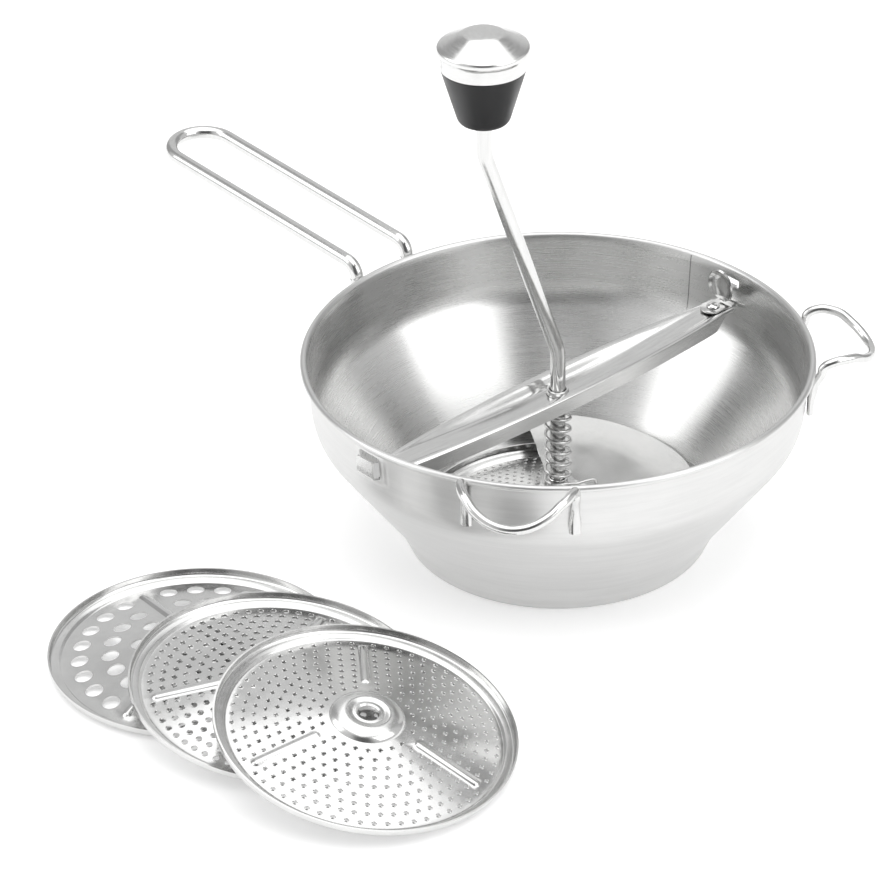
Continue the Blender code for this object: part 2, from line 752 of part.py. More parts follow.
def make_spare_discs(material, root):
    """Three spare discs in a fan, each leaning on the one before it."""
    heading = Vector((math.cos(FAN_HEADING), math.sin(FAN_HEADING), 0.0))
    tilt_axis = (-math.sin(FAN_DOWNHILL), math.cos(FAN_DOWNHILL), 0.0)
    parent = root
    place = Vector((0.0, 0.0, 0.0))
    for index, (name, lean) in enumerate(zip(("coarse", "medium", "fine"), FAN_LEANS)):
        angle = math.radians(lean)
        centre = FAN_START + heading * FAN_STEP * index
        centre.z = math.sin(angle) * (DISC_RADIUS - 4.0) + index * GAP
        pivot = make_empty(f"{name}_lift_axis", centre - place, parent)
        seat = make_empty(f"{name}_seat", (0.0, 0.0, 0.0), pivot)
        seat.rotation_mode = "AXIS_ANGLE"
        seat.rotation_axis_angle = (angle, *tilt_axis)
        disc = make_disc(f"{name}_disc", material, seat)
        if name == "coarse":
            cut_coarse_holes(disc)
        place = centre
        parent = pivot


# ---------------------------------------------------------------- the whole set

def centre_set(root):
    """Move the set so that the origin is at the bottom centre of its bounding box."""
    bpy.context.view_layer.update()
    depsgraph = bpy.context.evaluated_depsgraph_get()
    low = Vector((1e9, 1e9, 1e9))
    high = -low
    for obj in bpy.data.collections[PARTS].objects:
        if obj.type == "EMPTY":
            continue
        evaluated = obj.evaluated_get(depsgraph)
        mesh = evaluated.to_mesh()
        for vertex in mesh.vertices:
            point = obj.matrix_world @ vertex.co
            low = Vector(min(a, b) for a, b in zip(low, point))
            high = Vector(max(a, b) for a, b in zip(high, point))
        evaluated.to_mesh_clear()
    middle = (low + high) / 2.0
    root.location = (-middle.x, -middle.y, -low.z)
    bpy.context.view_layer.update()


def build():
    clear_scene()
    make_collection(PARTS)
    make_collection(CUTTERS)

    brushed = steel("brushed_steel", 0.62, 0.32)
    satin = steel("satin_sheet_steel", 0.68, 0.26)
    polished = steel("polished_wire", 0.78, 0.12)
    disc_steel = steel("pressed_disc_steel", 0.7, 0.2)
    spring_steel = steel("spring_steel", 0.55, 0.25)
    black_grip = make_material("black_moulded_grip", (0.016, 0.016, 0.017), 0.42, 0.0)
    sleeve_plastic = make_material("grey_sleeve_plastic", (0.3, 0.3, 0.3), 0.5, 0.0)

    root = make_empty("set_origin", (0.0, 0.0, 0.0))
    make_bowl(brushed, root)
    make_long_handle(polished, root)
    make_hook("front_hook", -HOOK_ANGLE, polished, root)
    make_hook("side_hook", HOOK_ANGLE, polished, root)
    make_disc("fitted_disc", disc_steel, root).location.z = FITTED_DISC_Z * MM

    tilt_axis = make_empty("bridge_tilt_axis", (0.0, -bowl_wall_radius(BRIDGE_TOP), BRIDGE_TOP - 1.0), root)
    make_bridge(satin, tilt_axis)
    make_latch_leaf(spring_steel, tilt_axis)
    make_rivet(polished, tilt_axis)
    make_bush(polished, tilt_axis)
    latch_place = Vector((0.0, TAB_PIVOT_Y, BRIDGE_TOP + 0.7)) - parent_place(tilt_axis) / MM
    latch_axis = make_empty("latch_axis", latch_place, tilt_axis)
    make_thumb_tab(spring_steel, latch_axis)

    spin_axis = make_empty("crank_spin_axis", -parent_place(tilt_axis) / MM, tilt_axis)
    ring("spring_seat_washer", 4.1, 7.2, 69.8, 70.9, polished, spin_axis, steps=24)
    make_spring(spring_steel, spin_axis)
    lift_axis = make_empty("crank_lift_axis", (0.0, 0.0, 0.0), spin_axis)
    make_crank_rod(polished, lift_axis)
    make_hub(satin, polished, polished, lift_axis)
    make_blade(satin, lift_axis)
    knob_axis = make_empty("knob_spin_axis", polar(CRANK_THROW, CRANK_HEADING), lift_axis)
    knob_on_crank = make_empty("knob_ring_seat", polar(CRANK_THROW, CRANK_HEADING), lift_axis)
    make_knob(black_grip, satin, sleeve_plastic, knob_axis, knob_on_crank)

    make_spare_discs(disc_steel, root)

    for obj in bpy.data.collections[PARTS].objects:
        if obj.type == "MESH":
            shade_round(obj)
    centre_set(root)


build()
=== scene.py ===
# %% [markdown]
# # A rotary food mill
# A food mill is a conical sheet-steel bowl with a sieve disc in its foot. A bar across the bowl
# carries a cranked rod, and a coil spring under the bar presses a sloping blade onto the disc.
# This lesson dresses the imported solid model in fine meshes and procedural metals, one piece at a
# time. Every place comes from the solid model's own boxes, so nothing has to be fitted by eye.

# %% Load the solid model
import math

import bmesh
import bpy
import numpy as np
from mathutils import Matrix, Vector


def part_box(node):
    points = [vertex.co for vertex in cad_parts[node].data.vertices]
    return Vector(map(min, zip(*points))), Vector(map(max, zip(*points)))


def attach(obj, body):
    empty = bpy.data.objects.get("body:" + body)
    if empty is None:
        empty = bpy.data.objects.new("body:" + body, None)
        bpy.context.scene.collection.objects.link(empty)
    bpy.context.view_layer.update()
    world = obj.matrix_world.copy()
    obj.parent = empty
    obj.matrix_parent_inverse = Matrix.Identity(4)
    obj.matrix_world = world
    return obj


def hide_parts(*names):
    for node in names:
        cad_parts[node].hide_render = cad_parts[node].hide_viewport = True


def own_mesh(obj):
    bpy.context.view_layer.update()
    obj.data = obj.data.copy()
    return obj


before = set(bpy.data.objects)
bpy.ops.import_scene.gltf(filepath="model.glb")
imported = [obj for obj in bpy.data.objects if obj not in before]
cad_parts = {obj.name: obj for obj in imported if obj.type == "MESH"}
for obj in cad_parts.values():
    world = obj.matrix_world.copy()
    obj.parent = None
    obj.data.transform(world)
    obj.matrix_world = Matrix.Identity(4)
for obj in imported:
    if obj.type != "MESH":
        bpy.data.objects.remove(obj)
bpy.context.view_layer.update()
MM = 0.001

# %% [markdown]
# The mill's vertical axis and the knob's axis are the two lines that most pieces are built
# around. Both come from pieces that are round about them, as the middle of a box.

# %% Find the axes
def box_middle(node):
    low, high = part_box(node)
    return (low + high) / 2.0


MILL = Vector((box_middle("fitted_disc").x, box_middle("fitted_disc").y, 0.0))
KNOB = Vector((box_middle("knob_cap").x, box_middle("knob_cap").y, 0.0))
THROW = (KNOB - MILL) / MM
print("mill axis", tuple(round(v, 4) for v in MILL), "crank throw", round(THROW.length, 1), "mm")

# %% [markdown]
# Small helpers come first. Lengths are written in millimetres, measured from the mill's axis,
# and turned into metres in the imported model's frame when a mesh is made.

# %% Points and curves
def at(x, y, z):
    return MILL + Vector((x, y, z)) * MM


def polar(radius, angle, z=0.0):
    return Vector((radius * math.cos(angle), radius * math.sin(angle), z))


def smoothstep(value):
    t = min(max(value, 0.0), 1.0)
    return t * t * (3.0 - 2.0 * t)


def interpolate(pairs, value):
    return float(np.interp(value, [p[0] for p in pairs], [p[1] for p in pairs]))


def spline(points, count):
    """A smooth line through the points: Catmull-Rom, with `count` steps to each span."""
    pts = [Vector(p) for p in points]
    ends = [pts[0] * 2 - pts[1], *pts, pts[-1] * 2 - pts[-2]]
    line = []
    for a, b, c, d in zip(ends, ends[1:], ends[2:], ends[3:]):
        for k in range(count):
            t = k / count
            line.append(0.5 * (
                b * 2 + (c - a) * t + (a * 2 - b * 5 + c * 4 - d) * t * t
                + (b * 3 - a - c * 3 + d) * t * t * t
            ))
    line.append(pts[-1])
    return line


def round_corners(corners, radii, step_deg=5.0):
    """A path through corner points with an arc of the given radius at each inner corner."""
    points = [Vector(corners[0])]
    for i in range(1, len(corners) - 1):
        corner = Vector(corners[i])
        back = (Vector(corners[i - 1]) - corner).normalized()
        ahead = (Vector(corners[i + 1]) - corner).normalized()
        turn = math.pi - back.angle(ahead)
        if radii[i - 1] <= 0.0 or turn < 0.01:
            points.append(corner)
            continue
        reach = radii[i - 1] * math.tan(turn / 2.0)
        start = corner + back * reach
        end = corner + ahead * reach
        centre = corner + (back + ahead).normalized() * (radii[i - 1] / math.cos(turn / 2.0))
        count = max(3, round(math.degrees(turn) / step_deg))
        for k in range(count + 1):
            t = k / count
            a = math.sin((1.0 - t) * turn) / math.sin(turn)
            b = math.sin(t * turn) / math.sin(turn)
            points.append(centre + (start - centre) * a + (end - centre) * b)
    points.append(Vector(corners[-1]))
    return points


def arc(centre, radius, start_deg, end_deg, count):
    angles = np.radians(np.linspace(start_deg, end_deg, count + 1))
    return [(centre[0] + radius * math.cos(a), centre[1] + radius * math.sin(a)) for a in angles]


print("helpers for points are ready")

# %% [markdown]
# ## Metals
# Stainless steel shows what stands around it, so its colour hardly varies: the finish is in its
# roughness and in very fine scratches. Spun sheet has scratches that run round the axis, drawn
# wire has them along its length, and pressed sheet is nearly smooth with a faint dull haze. Each
# metal below is a Principled shader with a noise that is stretched the way its scratches run.

# %% Node helpers
def new_material(name):
    material = bpy.data.materials.new(name)
    material.use_nodes = True
    tree = material.node_tree
    return material, tree, tree.nodes["Principled BSDF"]


def add_node(tree, kind, label, **settings):
    made = tree.nodes.new(kind)
    made.label = label
    for key, value in settings.items():
        setattr(made, key, value)
    return made


def math_node(tree, operation, label, first, second=None):
    made = add_node(tree, "ShaderNodeMath", label, operation=operation)
    for slot, value in enumerate((first, second)):
        if value is None:
            continue
        if isinstance(value, (int, float)):
            made.inputs[slot].default_value = value
        else:
            tree.links.new(value, made.inputs[slot])
    return made.outputs[0]


def ranged(tree, label, value, low, high, out_low, out_high):
    made = add_node(tree, "ShaderNodeMapRange", label, interpolation_type="SMOOTHSTEP")
    tree.links.new(value, made.inputs["Value"])
    for key, number in zip(("From Min", "From Max", "To Min", "To Max"), (low, high, out_low, out_high)):
        made.inputs[key].default_value = number
    return made.outputs["Result"]


def noise(tree, label, vector, scale, detail=3.0, roughness=0.5):
    made = add_node(tree, "ShaderNodeTexNoise", label)
    made.inputs["Scale"].default_value = scale
    made.inputs["Detail"].default_value = detail
    made.inputs["Roughness"].default_value = roughness
    tree.links.new(vector, made.inputs["Vector"])
    return made.outputs["Fac"]


def object_place(tree, centre, stretch=(1.0, 1.0, 1.0)):
    """Object coordinates moved to a centre and stretched, as a vector."""
    coordinates = add_node(tree, "ShaderNodeTexCoord", "object place")
    moved = add_node(tree, "ShaderNodeVectorMath", "from the axis", operation="SUBTRACT")
    moved.inputs[1].default_value = centre
    tree.links.new(coordinates.outputs["Object"], moved.inputs[0])
    scaled = add_node(tree, "ShaderNodeVectorMath", "stretch", operation="MULTIPLY")
    scaled.inputs[1].default_value = stretch
    tree.links.new(moved.outputs[0], scaled.inputs[0])
    return scaled.outputs[0]


def round_place(tree, centre, around, outward, upward):
    """Angle, radius and height about a vertical axis, each with its own stretch."""
    place = add_node(tree, "ShaderNodeSeparateXYZ", "split place")
    tree.links.new(object_place(tree, centre), place.inputs[0])
    x, y, z = place.outputs
    angle = math_node(tree, "ARCTAN2", "angle", y, x)
    square = math_node(tree, "ADD", "radius squared",
                       math_node(tree, "MULTIPLY", "x squared", x, x),
                       math_node(tree, "MULTIPLY", "y squared", y, y))
    radius = math_node(tree, "SQRT", "radius", square)
    joined = add_node(tree, "ShaderNodeCombineXYZ", "round place")
    tree.links.new(math_node(tree, "MULTIPLY", "around", angle, around), joined.inputs[0])
    tree.links.new(math_node(tree, "MULTIPLY", "outward", radius, outward), joined.inputs[1])
    tree.links.new(math_node(tree, "MULTIPLY", "upward", z, upward), joined.inputs[2])
    return joined.outputs[0]


def bump(tree, shader, height, strength, distance):
    made = add_node(tree, "ShaderNodeBump", "surface relief")
    made.inputs["Strength"].default_value = strength
    made.inputs["Distance"].default_value = distance
    tree.links.new(height, made.inputs["Height"])
    tree.links.new(made.outputs[0], shader.inputs["Normal"])


print("node helpers are ready")

# %% Steel finishes
STEEL = (0.68, 0.68, 0.675)
HAZE_SCALE = 28.0
SCRATCH_DEPTH = 0.00002


def steel(name, colour, rough_low, rough_high, lines, relief, centre=MILL, stretch=0.0):
    """A steel whose fine lines come from `lines`, a function that gives their vector."""
    material, tree, shader = new_material(name)
    shader.inputs["Metallic"].default_value = 1.0
    shader.inputs["Anisotropic"].default_value = stretch
    streaks = noise(tree, "scratches", lines(tree), 1.0, 4.0, 0.65)
    smudges = noise(tree, "handling haze", object_place(tree, centre), HAZE_SCALE, 4.0, 0.6)
    mixed = math_node(tree, "ADD", "scratches and haze",
                      math_node(tree, "MULTIPLY", "most scratches", streaks, 0.65),
                      math_node(tree, "MULTIPLY", "some haze", smudges, 0.35))
    tree.links.new(ranged(tree, "roughness", mixed, 0.35, 0.65, rough_low, rough_high),
                   shader.inputs["Roughness"])
    tint = add_node(tree, "ShaderNodeMix", "steel colour", data_type="RGBA")
    tint.inputs["A"].default_value = (*[c * 0.93 for c in colour], 1.0)
    tint.inputs["B"].default_value = (*colour, 1.0)
    tree.links.new(ranged(tree, "colour change", mixed, 0.38, 0.6, 0.0, 1.0), tint.inputs["Factor"])
    tree.links.new(tint.outputs["Result"], shader.inputs["Base Color"])
    bump(tree, shader, streaks, relief, SCRATCH_DEPTH)
    if stretch > 0.0:
        uphill(tree, shader, centre)
    return material


def uphill(tree, shader, centre):
    """Turn the stretched highlights to run up and down the wall, across the spinning marks."""
    place = add_node(tree, "ShaderNodeSeparateXYZ", "place round the axis")
    tree.links.new(object_place(tree, centre), place.inputs[0])
    along = add_node(tree, "ShaderNodeCombineXYZ", "direction round the axis")
    tree.links.new(math_node(tree, "MULTIPLY", "minus y", place.outputs["Y"], -1.0), along.inputs[0])
    tree.links.new(place.outputs["X"], along.inputs[1])
    tree.links.new(along.outputs[0], shader.inputs["Tangent"])
    shader.inputs["Anisotropic Rotation"].default_value = 0.25


def spun(tree):
    return round_place(tree, MILL, 4.0, 2600.0, 2600.0)


def spun_softly(tree):
    return round_place(tree, MILL, 2.0, 260.0, 260.0)


def pressed(tree):
    return object_place(tree, MILL, (60.0, 60.0, 60.0))


def drawn_across(tree):
    return object_place(tree, MILL, (900.0, 40.0, 900.0))


def drawn_up(tree):
    return object_place(tree, MILL, (700.0, 700.0, 30.0))


bowl_inside = steel("spun_bowl_inside", STEEL, 0.25, 0.31, spun, 0.06, stretch=0.6)
bowl_outside = steel("satin_bowl_outside", STEEL, 0.32, 0.4, spun_softly, 0.03, stretch=0.3)
bar_steel = steel("bar_sheet_steel", (0.72, 0.72, 0.715), 0.14, 0.22, drawn_across, 0.04)
wire_steel = steel("polished_wire_steel", (0.70, 0.70, 0.695), 0.1, 0.17, drawn_up, 0.02)
blade_steel = steel("blade_sheet_steel", (0.72, 0.72, 0.715), 0.14, 0.22, pressed, 0.03)
disc_steel = steel("pressed_disc_sheet", (0.70, 0.70, 0.695), 0.15, 0.24, pressed, 0.03)
spring_steel = steel("coiled_spring_steel", (0.62, 0.62, 0.615), 0.14, 0.22, pressed, 0.02)
cap_steel = steel("polished_knob_cap", (0.74, 0.74, 0.735), 0.16, 0.24,
                  lambda tree: round_place(tree, KNOB, 3.0, 900.0, 900.0), 0.03, centre=KNOB)
print("steel finishes are ready")

# %% [markdown]
# The bowl's sheet was rolled to a ring and welded before it was spun. The dressed weld is seen
# only as a hairline inside the upper band. That hairline is painted shade: a dark line painted into
# the steel's colour where the angle round the axis and the height are right. It stands in for the
# shade of the weld's fine step, because a step that fine would be lost in a mesh.

# %% Painted shade of the weld hairline
SEAM_ANGLE = math.radians(102.7)
SEAM_EDGE = (0.0015, 0.0034)
SEAM_FROM = 0.064


def paint_weld_shade(material):
    tree = material.node_tree
    shader = tree.nodes["Principled BSDF"]
    steel_tint = shader.inputs["Base Color"].links[0].from_socket
    place = add_node(tree, "ShaderNodeSeparateXYZ", "place of the weld")
    tree.links.new(object_place(tree, MILL), place.inputs[0])
    angle = math_node(tree, "ARCTAN2", "angle", place.outputs["Y"], place.outputs["X"])
    turned_away = math_node(tree, "SUBTRACT", "turn from the weld", angle, SEAM_ANGLE)
    away = math_node(tree, "ABSOLUTE", "size of the turn", turned_away)
    line = ranged(tree, "weld line", away, *SEAM_EDGE, 1.0, 0.0)
    upper = ranged(tree, "upper band only", place.outputs["Z"], SEAM_FROM, SEAM_FROM + 0.003, 0.0, 0.75)
    # painted shade: a dark colour mixed in along the weld hairline, in place of the shade of its fine step
    darker = add_node(tree, "ShaderNodeMix", "painted weld shade", data_type="RGBA")
    darker.inputs["B"].default_value = (0.12, 0.12, 0.12, 1.0)
    tree.links.new(math_node(tree, "MULTIPLY", "weld mask", line, upper), darker.inputs["Factor"])
    tree.links.new(steel_tint, darker.inputs["A"])
    tree.links.new(darker.outputs["Result"], shader.inputs["Base Color"])


paint_weld_shade(bowl_inside)
print("hairline at", round(math.degrees(SEAM_ANGLE), 1), "degrees")

# %% [markdown]
# The grip is a black moulding with a fine spark-eroded texture, so it has a soft sheen. The
# sleeve inside it is a plain grey bearing plastic that can only be seen from underneath.

# %% Plastics
def plastic(name, colour, roughness, grain):
    material, tree, shader = new_material(name)
    speck = noise(tree, "mould grain", object_place(tree, KNOB), grain, 2.0, 0.6)
    tone = add_node(tree, "ShaderNodeMix", "moulded tone", data_type="RGBA")
    tone.inputs["A"].default_value = (*[c * 0.8 for c in colour], 1.0)
    tone.inputs["B"].default_value = (*[c * 1.25 for c in colour], 1.0)
    wide = noise(tree, "wide tone", object_place(tree, KNOB), 70.0, 2.0, 0.5)
    tree.links.new(wide, tone.inputs["Factor"])
    tree.links.new(tone.outputs["Result"], shader.inputs["Base Color"])
    tree.links.new(ranged(tree, "roughness", wide, 0.3, 0.7, roughness - 0.05, roughness + 0.06),
                   shader.inputs["Roughness"])
    bump(tree, shader, speck, 0.12, 0.00006)
    return material


grip_black = plastic("black_grip_moulding", (0.012, 0.012, 0.013), 0.38, 2600.0)
sleeve_grey = plastic("grey_sleeve_moulding", (0.25, 0.25, 0.25), 0.5, 1800.0)
print("plastics:", grip_black.name, sleeve_grey.name)

# %% [markdown]
# ## Making and finishing pieces
# A finished piece sits at the origin with its place in its mesh. One function does the last
# steps for all of them: smooth shading with sharp creases, the body it rides on, and the solid
# node it stands for.

# %% Finish a piece
def put_in_scene(name, data):
    obj = bpy.data.objects.new(name, data)
    bpy.context.scene.collection.objects.link(obj)
    return obj


def freeze(obj):
    """Swap a modified object's mesh for its result and drop the modifiers."""
    bpy.context.view_layer.update()
    depsgraph = bpy.context.evaluated_depsgraph_get()
    mesh = bpy.data.meshes.new_from_object(obj.evaluated_get(depsgraph))
    obj.modifiers.clear()
    obj.data = mesh
    return obj


def piece_from(name, bm, materials):
    mesh = bpy.data.meshes.new(name)
    bm.to_mesh(mesh)
    bm.free()
    for material in materials:
        mesh.materials.append(material)
    return put_in_scene(name, mesh)


def join_mesh(obj, mesh):
    """Add a second mesh to the object's own."""
    bm = bmesh.new()
    bm.from_mesh(obj.data)
    bm.from_mesh(mesh)
    bm.to_mesh(obj.data)
    bm.free()


def finish_piece(obj, body, node, sharp_deg=32.0):
    obj.data.shade_smooth()
    obj.data.set_sharp_from_angle(angle=math.radians(sharp_deg))
    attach(obj, body)
    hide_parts(node)
    obj.data.calc_loop_triangles()
    print(f"{obj.name}: {len(obj.data.loop_triangles)} triangles on {body}")
    return obj


def solidify(obj, thickness, offset=0.0, even=True):
    sheet = obj.modifiers.new("sheet", "SOLIDIFY")
    sheet.thickness = thickness * MM
    sheet.offset = offset
    sheet.use_even_offset = even
    return freeze(obj)


# %% [markdown]
# Turned pieces come from a profile of radius and height that is carried round an axis. A closed
# profile that runs down its outer side gives faces that point outwards.

# %% Turned pieces
def turn(bm, profile, angles, centre=MILL, closed=True, full=True, material_of=None):
    """Carry a profile round a vertical axis. Points on the axis are shared by all columns."""
    columns = []
    poles = {}
    for angle in angles:
        column = []
        for i, (radius, height) in enumerate(profile):
            if radius < 1e-6:
                if i not in poles:
                    poles[i] = bm.verts.new(centre + Vector((0.0, 0.0, height)) * MM)
                column.append(poles[i])
            else:
                column.append(bm.verts.new(centre + polar(radius, angle, height) * MM))
        columns.append(column)
    pairs = list(zip(columns, columns[1:]))
    if full:
        pairs.append((columns[-1], columns[0]))
    span = len(profile)
    for left, right in pairs:
        for i in range(span if closed else span - 1):
            j = (i + 1) % span
            corners = []
            for vert in (left[i], left[j], right[j], right[i]):
                if vert not in corners:
                    corners.append(vert)
            if len(corners) > 2:
                face = bm.faces.new(corners)
                if material_of is not None:
                    face.material_index = material_of(i)
    return columns


def round_angles(count):
    return [2.0 * math.pi * i / count for i in range(count)]


def turned_piece(name, profile, count, material, centre, closed=True):
    bm = bmesh.new()
    turn(bm, profile, round_angles(count), centre, closed)
    bmesh.ops.recalc_face_normals(bm, faces=bm.faces)
    return piece_from(name, bm, [material])


print("turning is ready")

# %% [markdown]
# ## The bowl
# The bowl is spun from one sheet: a low foot with an inner ledge for the disc, a crease, a steep
# cone, a soft shoulder, an almost upright band, and a rim that is rolled outwards into a bead.
# It could be a Screw modifier on a curve. Here the profile is carried round by hand instead, so
# that the columns can stand closer together where the bar's slot is pressed and cut.

# %% Bowl profile
RIM_RADIUS = (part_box("bowl")[1].x - MILL.x) / MM
RIM_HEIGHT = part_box("bowl")[1].z / MM
BEAD = 1.65
WALL = 1.0
BAND_LOW = (115.5, 73.0)
BAND_TOP = (RIM_RADIUS - 2.9, RIM_HEIGHT - 3.6)
LEDGE_RADIUS = 64.5


def band_radius(z):
    """Outer radius of the upright band at a height."""
    return interpolate([(BAND_LOW[1], BAND_LOW[0]), (BAND_TOP[1], BAND_TOP[0])], z)


def bezier(start, control, end, count):
    line = []
    for t in np.linspace(0.0, 1.0, count + 1):
        line.append(tuple(
            (1 - t) ** 2 * s + 2 * t * (1 - t) * c + t * t * e for s, c, e in zip(start, control, end)
        ))
    return line


def straight(start, end, count):
    """Points between two ends, the ends left out."""
    return [tuple(np.array(start) + (np.array(end) - start) * k / count) for k in range(1, count)]


shoulder = bezier(BAND_LOW, (115.0, 64.3), (110.8, 58.5), 12)
throat = bezier((80.0, 16.2), (77.4, 12.6), (76.0, 9.0), 8)
outer_line = (
    [BAND_TOP] + straight(BAND_TOP, BAND_LOW, 16) + shoulder
    + straight(shoulder[-1], throat[0], 10) + throat
    + straight(throat[-1], (72.6, 1.8), 3) + [(72.6, 1.8), (72.3, 0.9)]
)


def shifted(line, distance):
    """The line moved to its right-hand side by a distance."""
    moved = []
    for i, point in enumerate(line):
        along = (Vector(line[min(i + 1, len(line) - 1)]) - Vector(line[max(i - 1, 0)])).normalized()
        moved.append((point[0] + along.y * distance, point[1] - along.x * distance))
    return moved


inner_line = list(reversed(shifted(outer_line, WALL)[:-2]))
bead_line = arc((RIM_RADIUS - BEAD, RIM_HEIGHT - BEAD), BEAD, 168, -78, 16)
foot_line = [(71.9, 0.3), (71.2, 0.0), (LEDGE_RADIUS, 0.0), (LEDGE_RADIUS, 2.0), (70.2, 2.0), (71.1, 2.6)]
bowl_profile = bead_line + outer_line + foot_line + inner_line
first_inside = len(bead_line) + len(outer_line) + 3
print("bowl profile points:", len(bowl_profile))

# %% Bowl mesh
SLOT_HALF = 6.5
SLOT_LOW = 77.6
SLOT_HIGH = 89.8


def bowl_columns():
    """Column angles: even all round, and close together beside the two slots."""
    even = [math.radians(a) for a in np.arange(0.0, 360.0, 2.0)]
    fine = []
    for middle in (-90.0, 90.0):
        fine += [math.radians(a % 360.0) for a in np.arange(middle - 9.0, middle + 9.01, 0.4)]
    kept = [a for a in even if all(abs(a - f) > math.radians(0.9) for f in fine)]
    return sorted(kept + fine)


def surround_lift(x, z, half, low, high, reach):
    """How far the pressed surround of a slot stands out, from 0 to 1."""
    away_x = max(abs(x) - half, 0.0)
    away_z = max(low - z, z - high, 0.0)
    return 1.0 - smoothstep((math.hypot(away_x, away_z) - reach * 0.35) / (reach * 0.65))


bm = bmesh.new()
turn(bm, bowl_profile, bowl_columns(), MILL, material_of=lambda i: 0 if i < first_inside else 1)
for vert in bm.verts:
    place = (vert.co - MILL) / MM
    if place.y < 0.0 and 70.0 < place.z < 91.6:
        lift = 0.9 * surround_lift(place.x, place.z, SLOT_HALF, SLOT_LOW, SLOT_HIGH - 1.5, 4.2)
        outward = Vector((place.x, place.y, 0.0)).normalized()
        vert.co += outward * lift * smoothstep((92.6 - place.z) / 2.5) * MM
bmesh.ops.recalc_face_normals(bm, faces=bm.faces)
bowl = piece_from("bowl_shell", bm, [bowl_outside, bowl_inside])
print("bowl columns:", len(bowl_columns()))

# %% [markdown]
# The slot for the bar's tongue and the small catch for the latch nose are cut with an exact
# Boolean. Each cutter is a box with its upright edges rounded, and it is removed afterwards.

# %% Cut the bowl's slots
def rounded_box(name, size, centre, radius, segments=4):
    bm = bmesh.new()
    bmesh.ops.create_cube(bm, size=1.0, matrix=Matrix.Diagonal(Vector((*size, 1.0))))
    across = [e for e in bm.edges if abs((e.verts[0].co - e.verts[1].co).normalized().y) > 0.99]
    bmesh.ops.bevel(bm, geom=across, offset=radius, segments=segments, affect="EDGES", profile=0.5)
    for vert in bm.verts:
        vert.co = MILL + (vert.co + Vector(centre)) * MM
    return piece_from(name, bm, [])


def cut(obj, cutter):
    tool = obj.modifiers.new("cut", "BOOLEAN")
    tool.operation = "DIFFERENCE"
    tool.solver = "EXACT"
    tool.object = cutter
    freeze(obj)
    bpy.data.objects.remove(cutter, do_unlink=True)


slot_size = (2 * SLOT_HALF, 14.0, SLOT_HIGH - SLOT_LOW)
slot_middle = (0.0, -band_radius(84.0), (SLOT_LOW + SLOT_HIGH) / 2.0)
cut(bowl, rounded_box("slot_cutter", slot_size, slot_middle, 1.6))
cut(bowl, rounded_box("catch_cutter", (9.0, 14.0, 4.2), (0.0, band_radius(88.0), 88.4), 0.8))
finish_piece(bowl, "mill_bowl", "bowl", 28.0)

# %% [markdown]
# ## Wires
# The long handle, the two rest hooks, the crank rod and the spring are all round wire bent along
# a path. One Geometry Nodes tree serves them all: it turns a chain of edges into a curve, gives
# the curve a round section, and closes its ends. The path comes in as a mesh of edges, and a
# point attribute thins the wire where it tapers.

# %% A tree that draws wire along a path
def new_tree(name, inputs):
    """A geometry tree with the named inputs, and the sockets that those inputs arrive at."""
    tree = bpy.data.node_groups.new(name, "GeometryNodeTree")
    tree.interface.new_socket(name="Geometry", in_out="INPUT", socket_type="NodeSocketGeometry")
    for label, kind, value in inputs:
        socket = tree.interface.new_socket(name=label, in_out="INPUT", socket_type=kind)
        if value is not None:
            socket.default_value = value
    tree.interface.new_socket(name="Geometry", in_out="OUTPUT", socket_type="NodeSocketGeometry")
    return tree, tree.nodes.new("NodeGroupInput").outputs


def add_step(tree, kind, inputs, **settings):
    """Add a geometry node, feed its inputs with values or sockets, and give its first output."""
    made = tree.nodes.new("GeometryNode" + kind)
    for key, value in settings.items():
        setattr(made, key, value)
    for key, value in inputs.items():
        for item in value if isinstance(value, list) else [value]:
            if isinstance(item, bpy.types.NodeSocket):
                tree.links.new(item, made.inputs[key])
            else:
                made.inputs[key].default_value = item
    return made.outputs[0]


def end_tree(tree, geometry, finish):
    """Make the result real, give it its finish and send it out."""
    real = add_step(tree, "RealizeInstances", {"Geometry": geometry})
    coated = add_step(tree, "SetMaterial", {"Geometry": real, "Material": finish})
    tree.links.new(coated, tree.nodes.new("NodeGroupOutput").inputs[0])
    print(tree.name, "nodes:", len(tree.nodes))


def apply_tree(obj, tree, values):
    """Run a tree on an object with inputs set by their sockets' identifiers."""
    modifier = obj.modifiers.new(tree.name, "NODES")
    modifier.node_group = tree
    for item in tree.interface.items_tree:
        if item.item_type == "SOCKET" and item.in_out == "INPUT" and item.name in values:
            modifier[item.identifier] = values[item.name]
    return freeze(obj)


wire_tree, wire = new_tree("wire_along_path", [
    ("Wire Radius", "NodeSocketFloat", 0.002),
    ("Sides", "NodeSocketInt", 24),
    ("Finish", "NodeSocketMaterial", None),
])
path_curve = add_step(wire_tree, "MeshToCurve", {"Mesh": wire["Geometry"]})
taper = add_step(wire_tree, "InputNamedAttribute", {"Name": "taper"}, data_type="FLOAT")
tapered = add_step(wire_tree, "SetCurveRadius", {"Curve": path_curve, "Radius": taper})
section = add_step(wire_tree, "CurvePrimitiveCircle",
                   {"Resolution": wire["Sides"], "Radius": wire["Wire Radius"]})
skin = add_step(wire_tree, "CurveToMesh", {"Curve": tapered, "Profile Curve": section, "Fill Caps": True})
end_tree(wire_tree, skin, wire["Finish"])

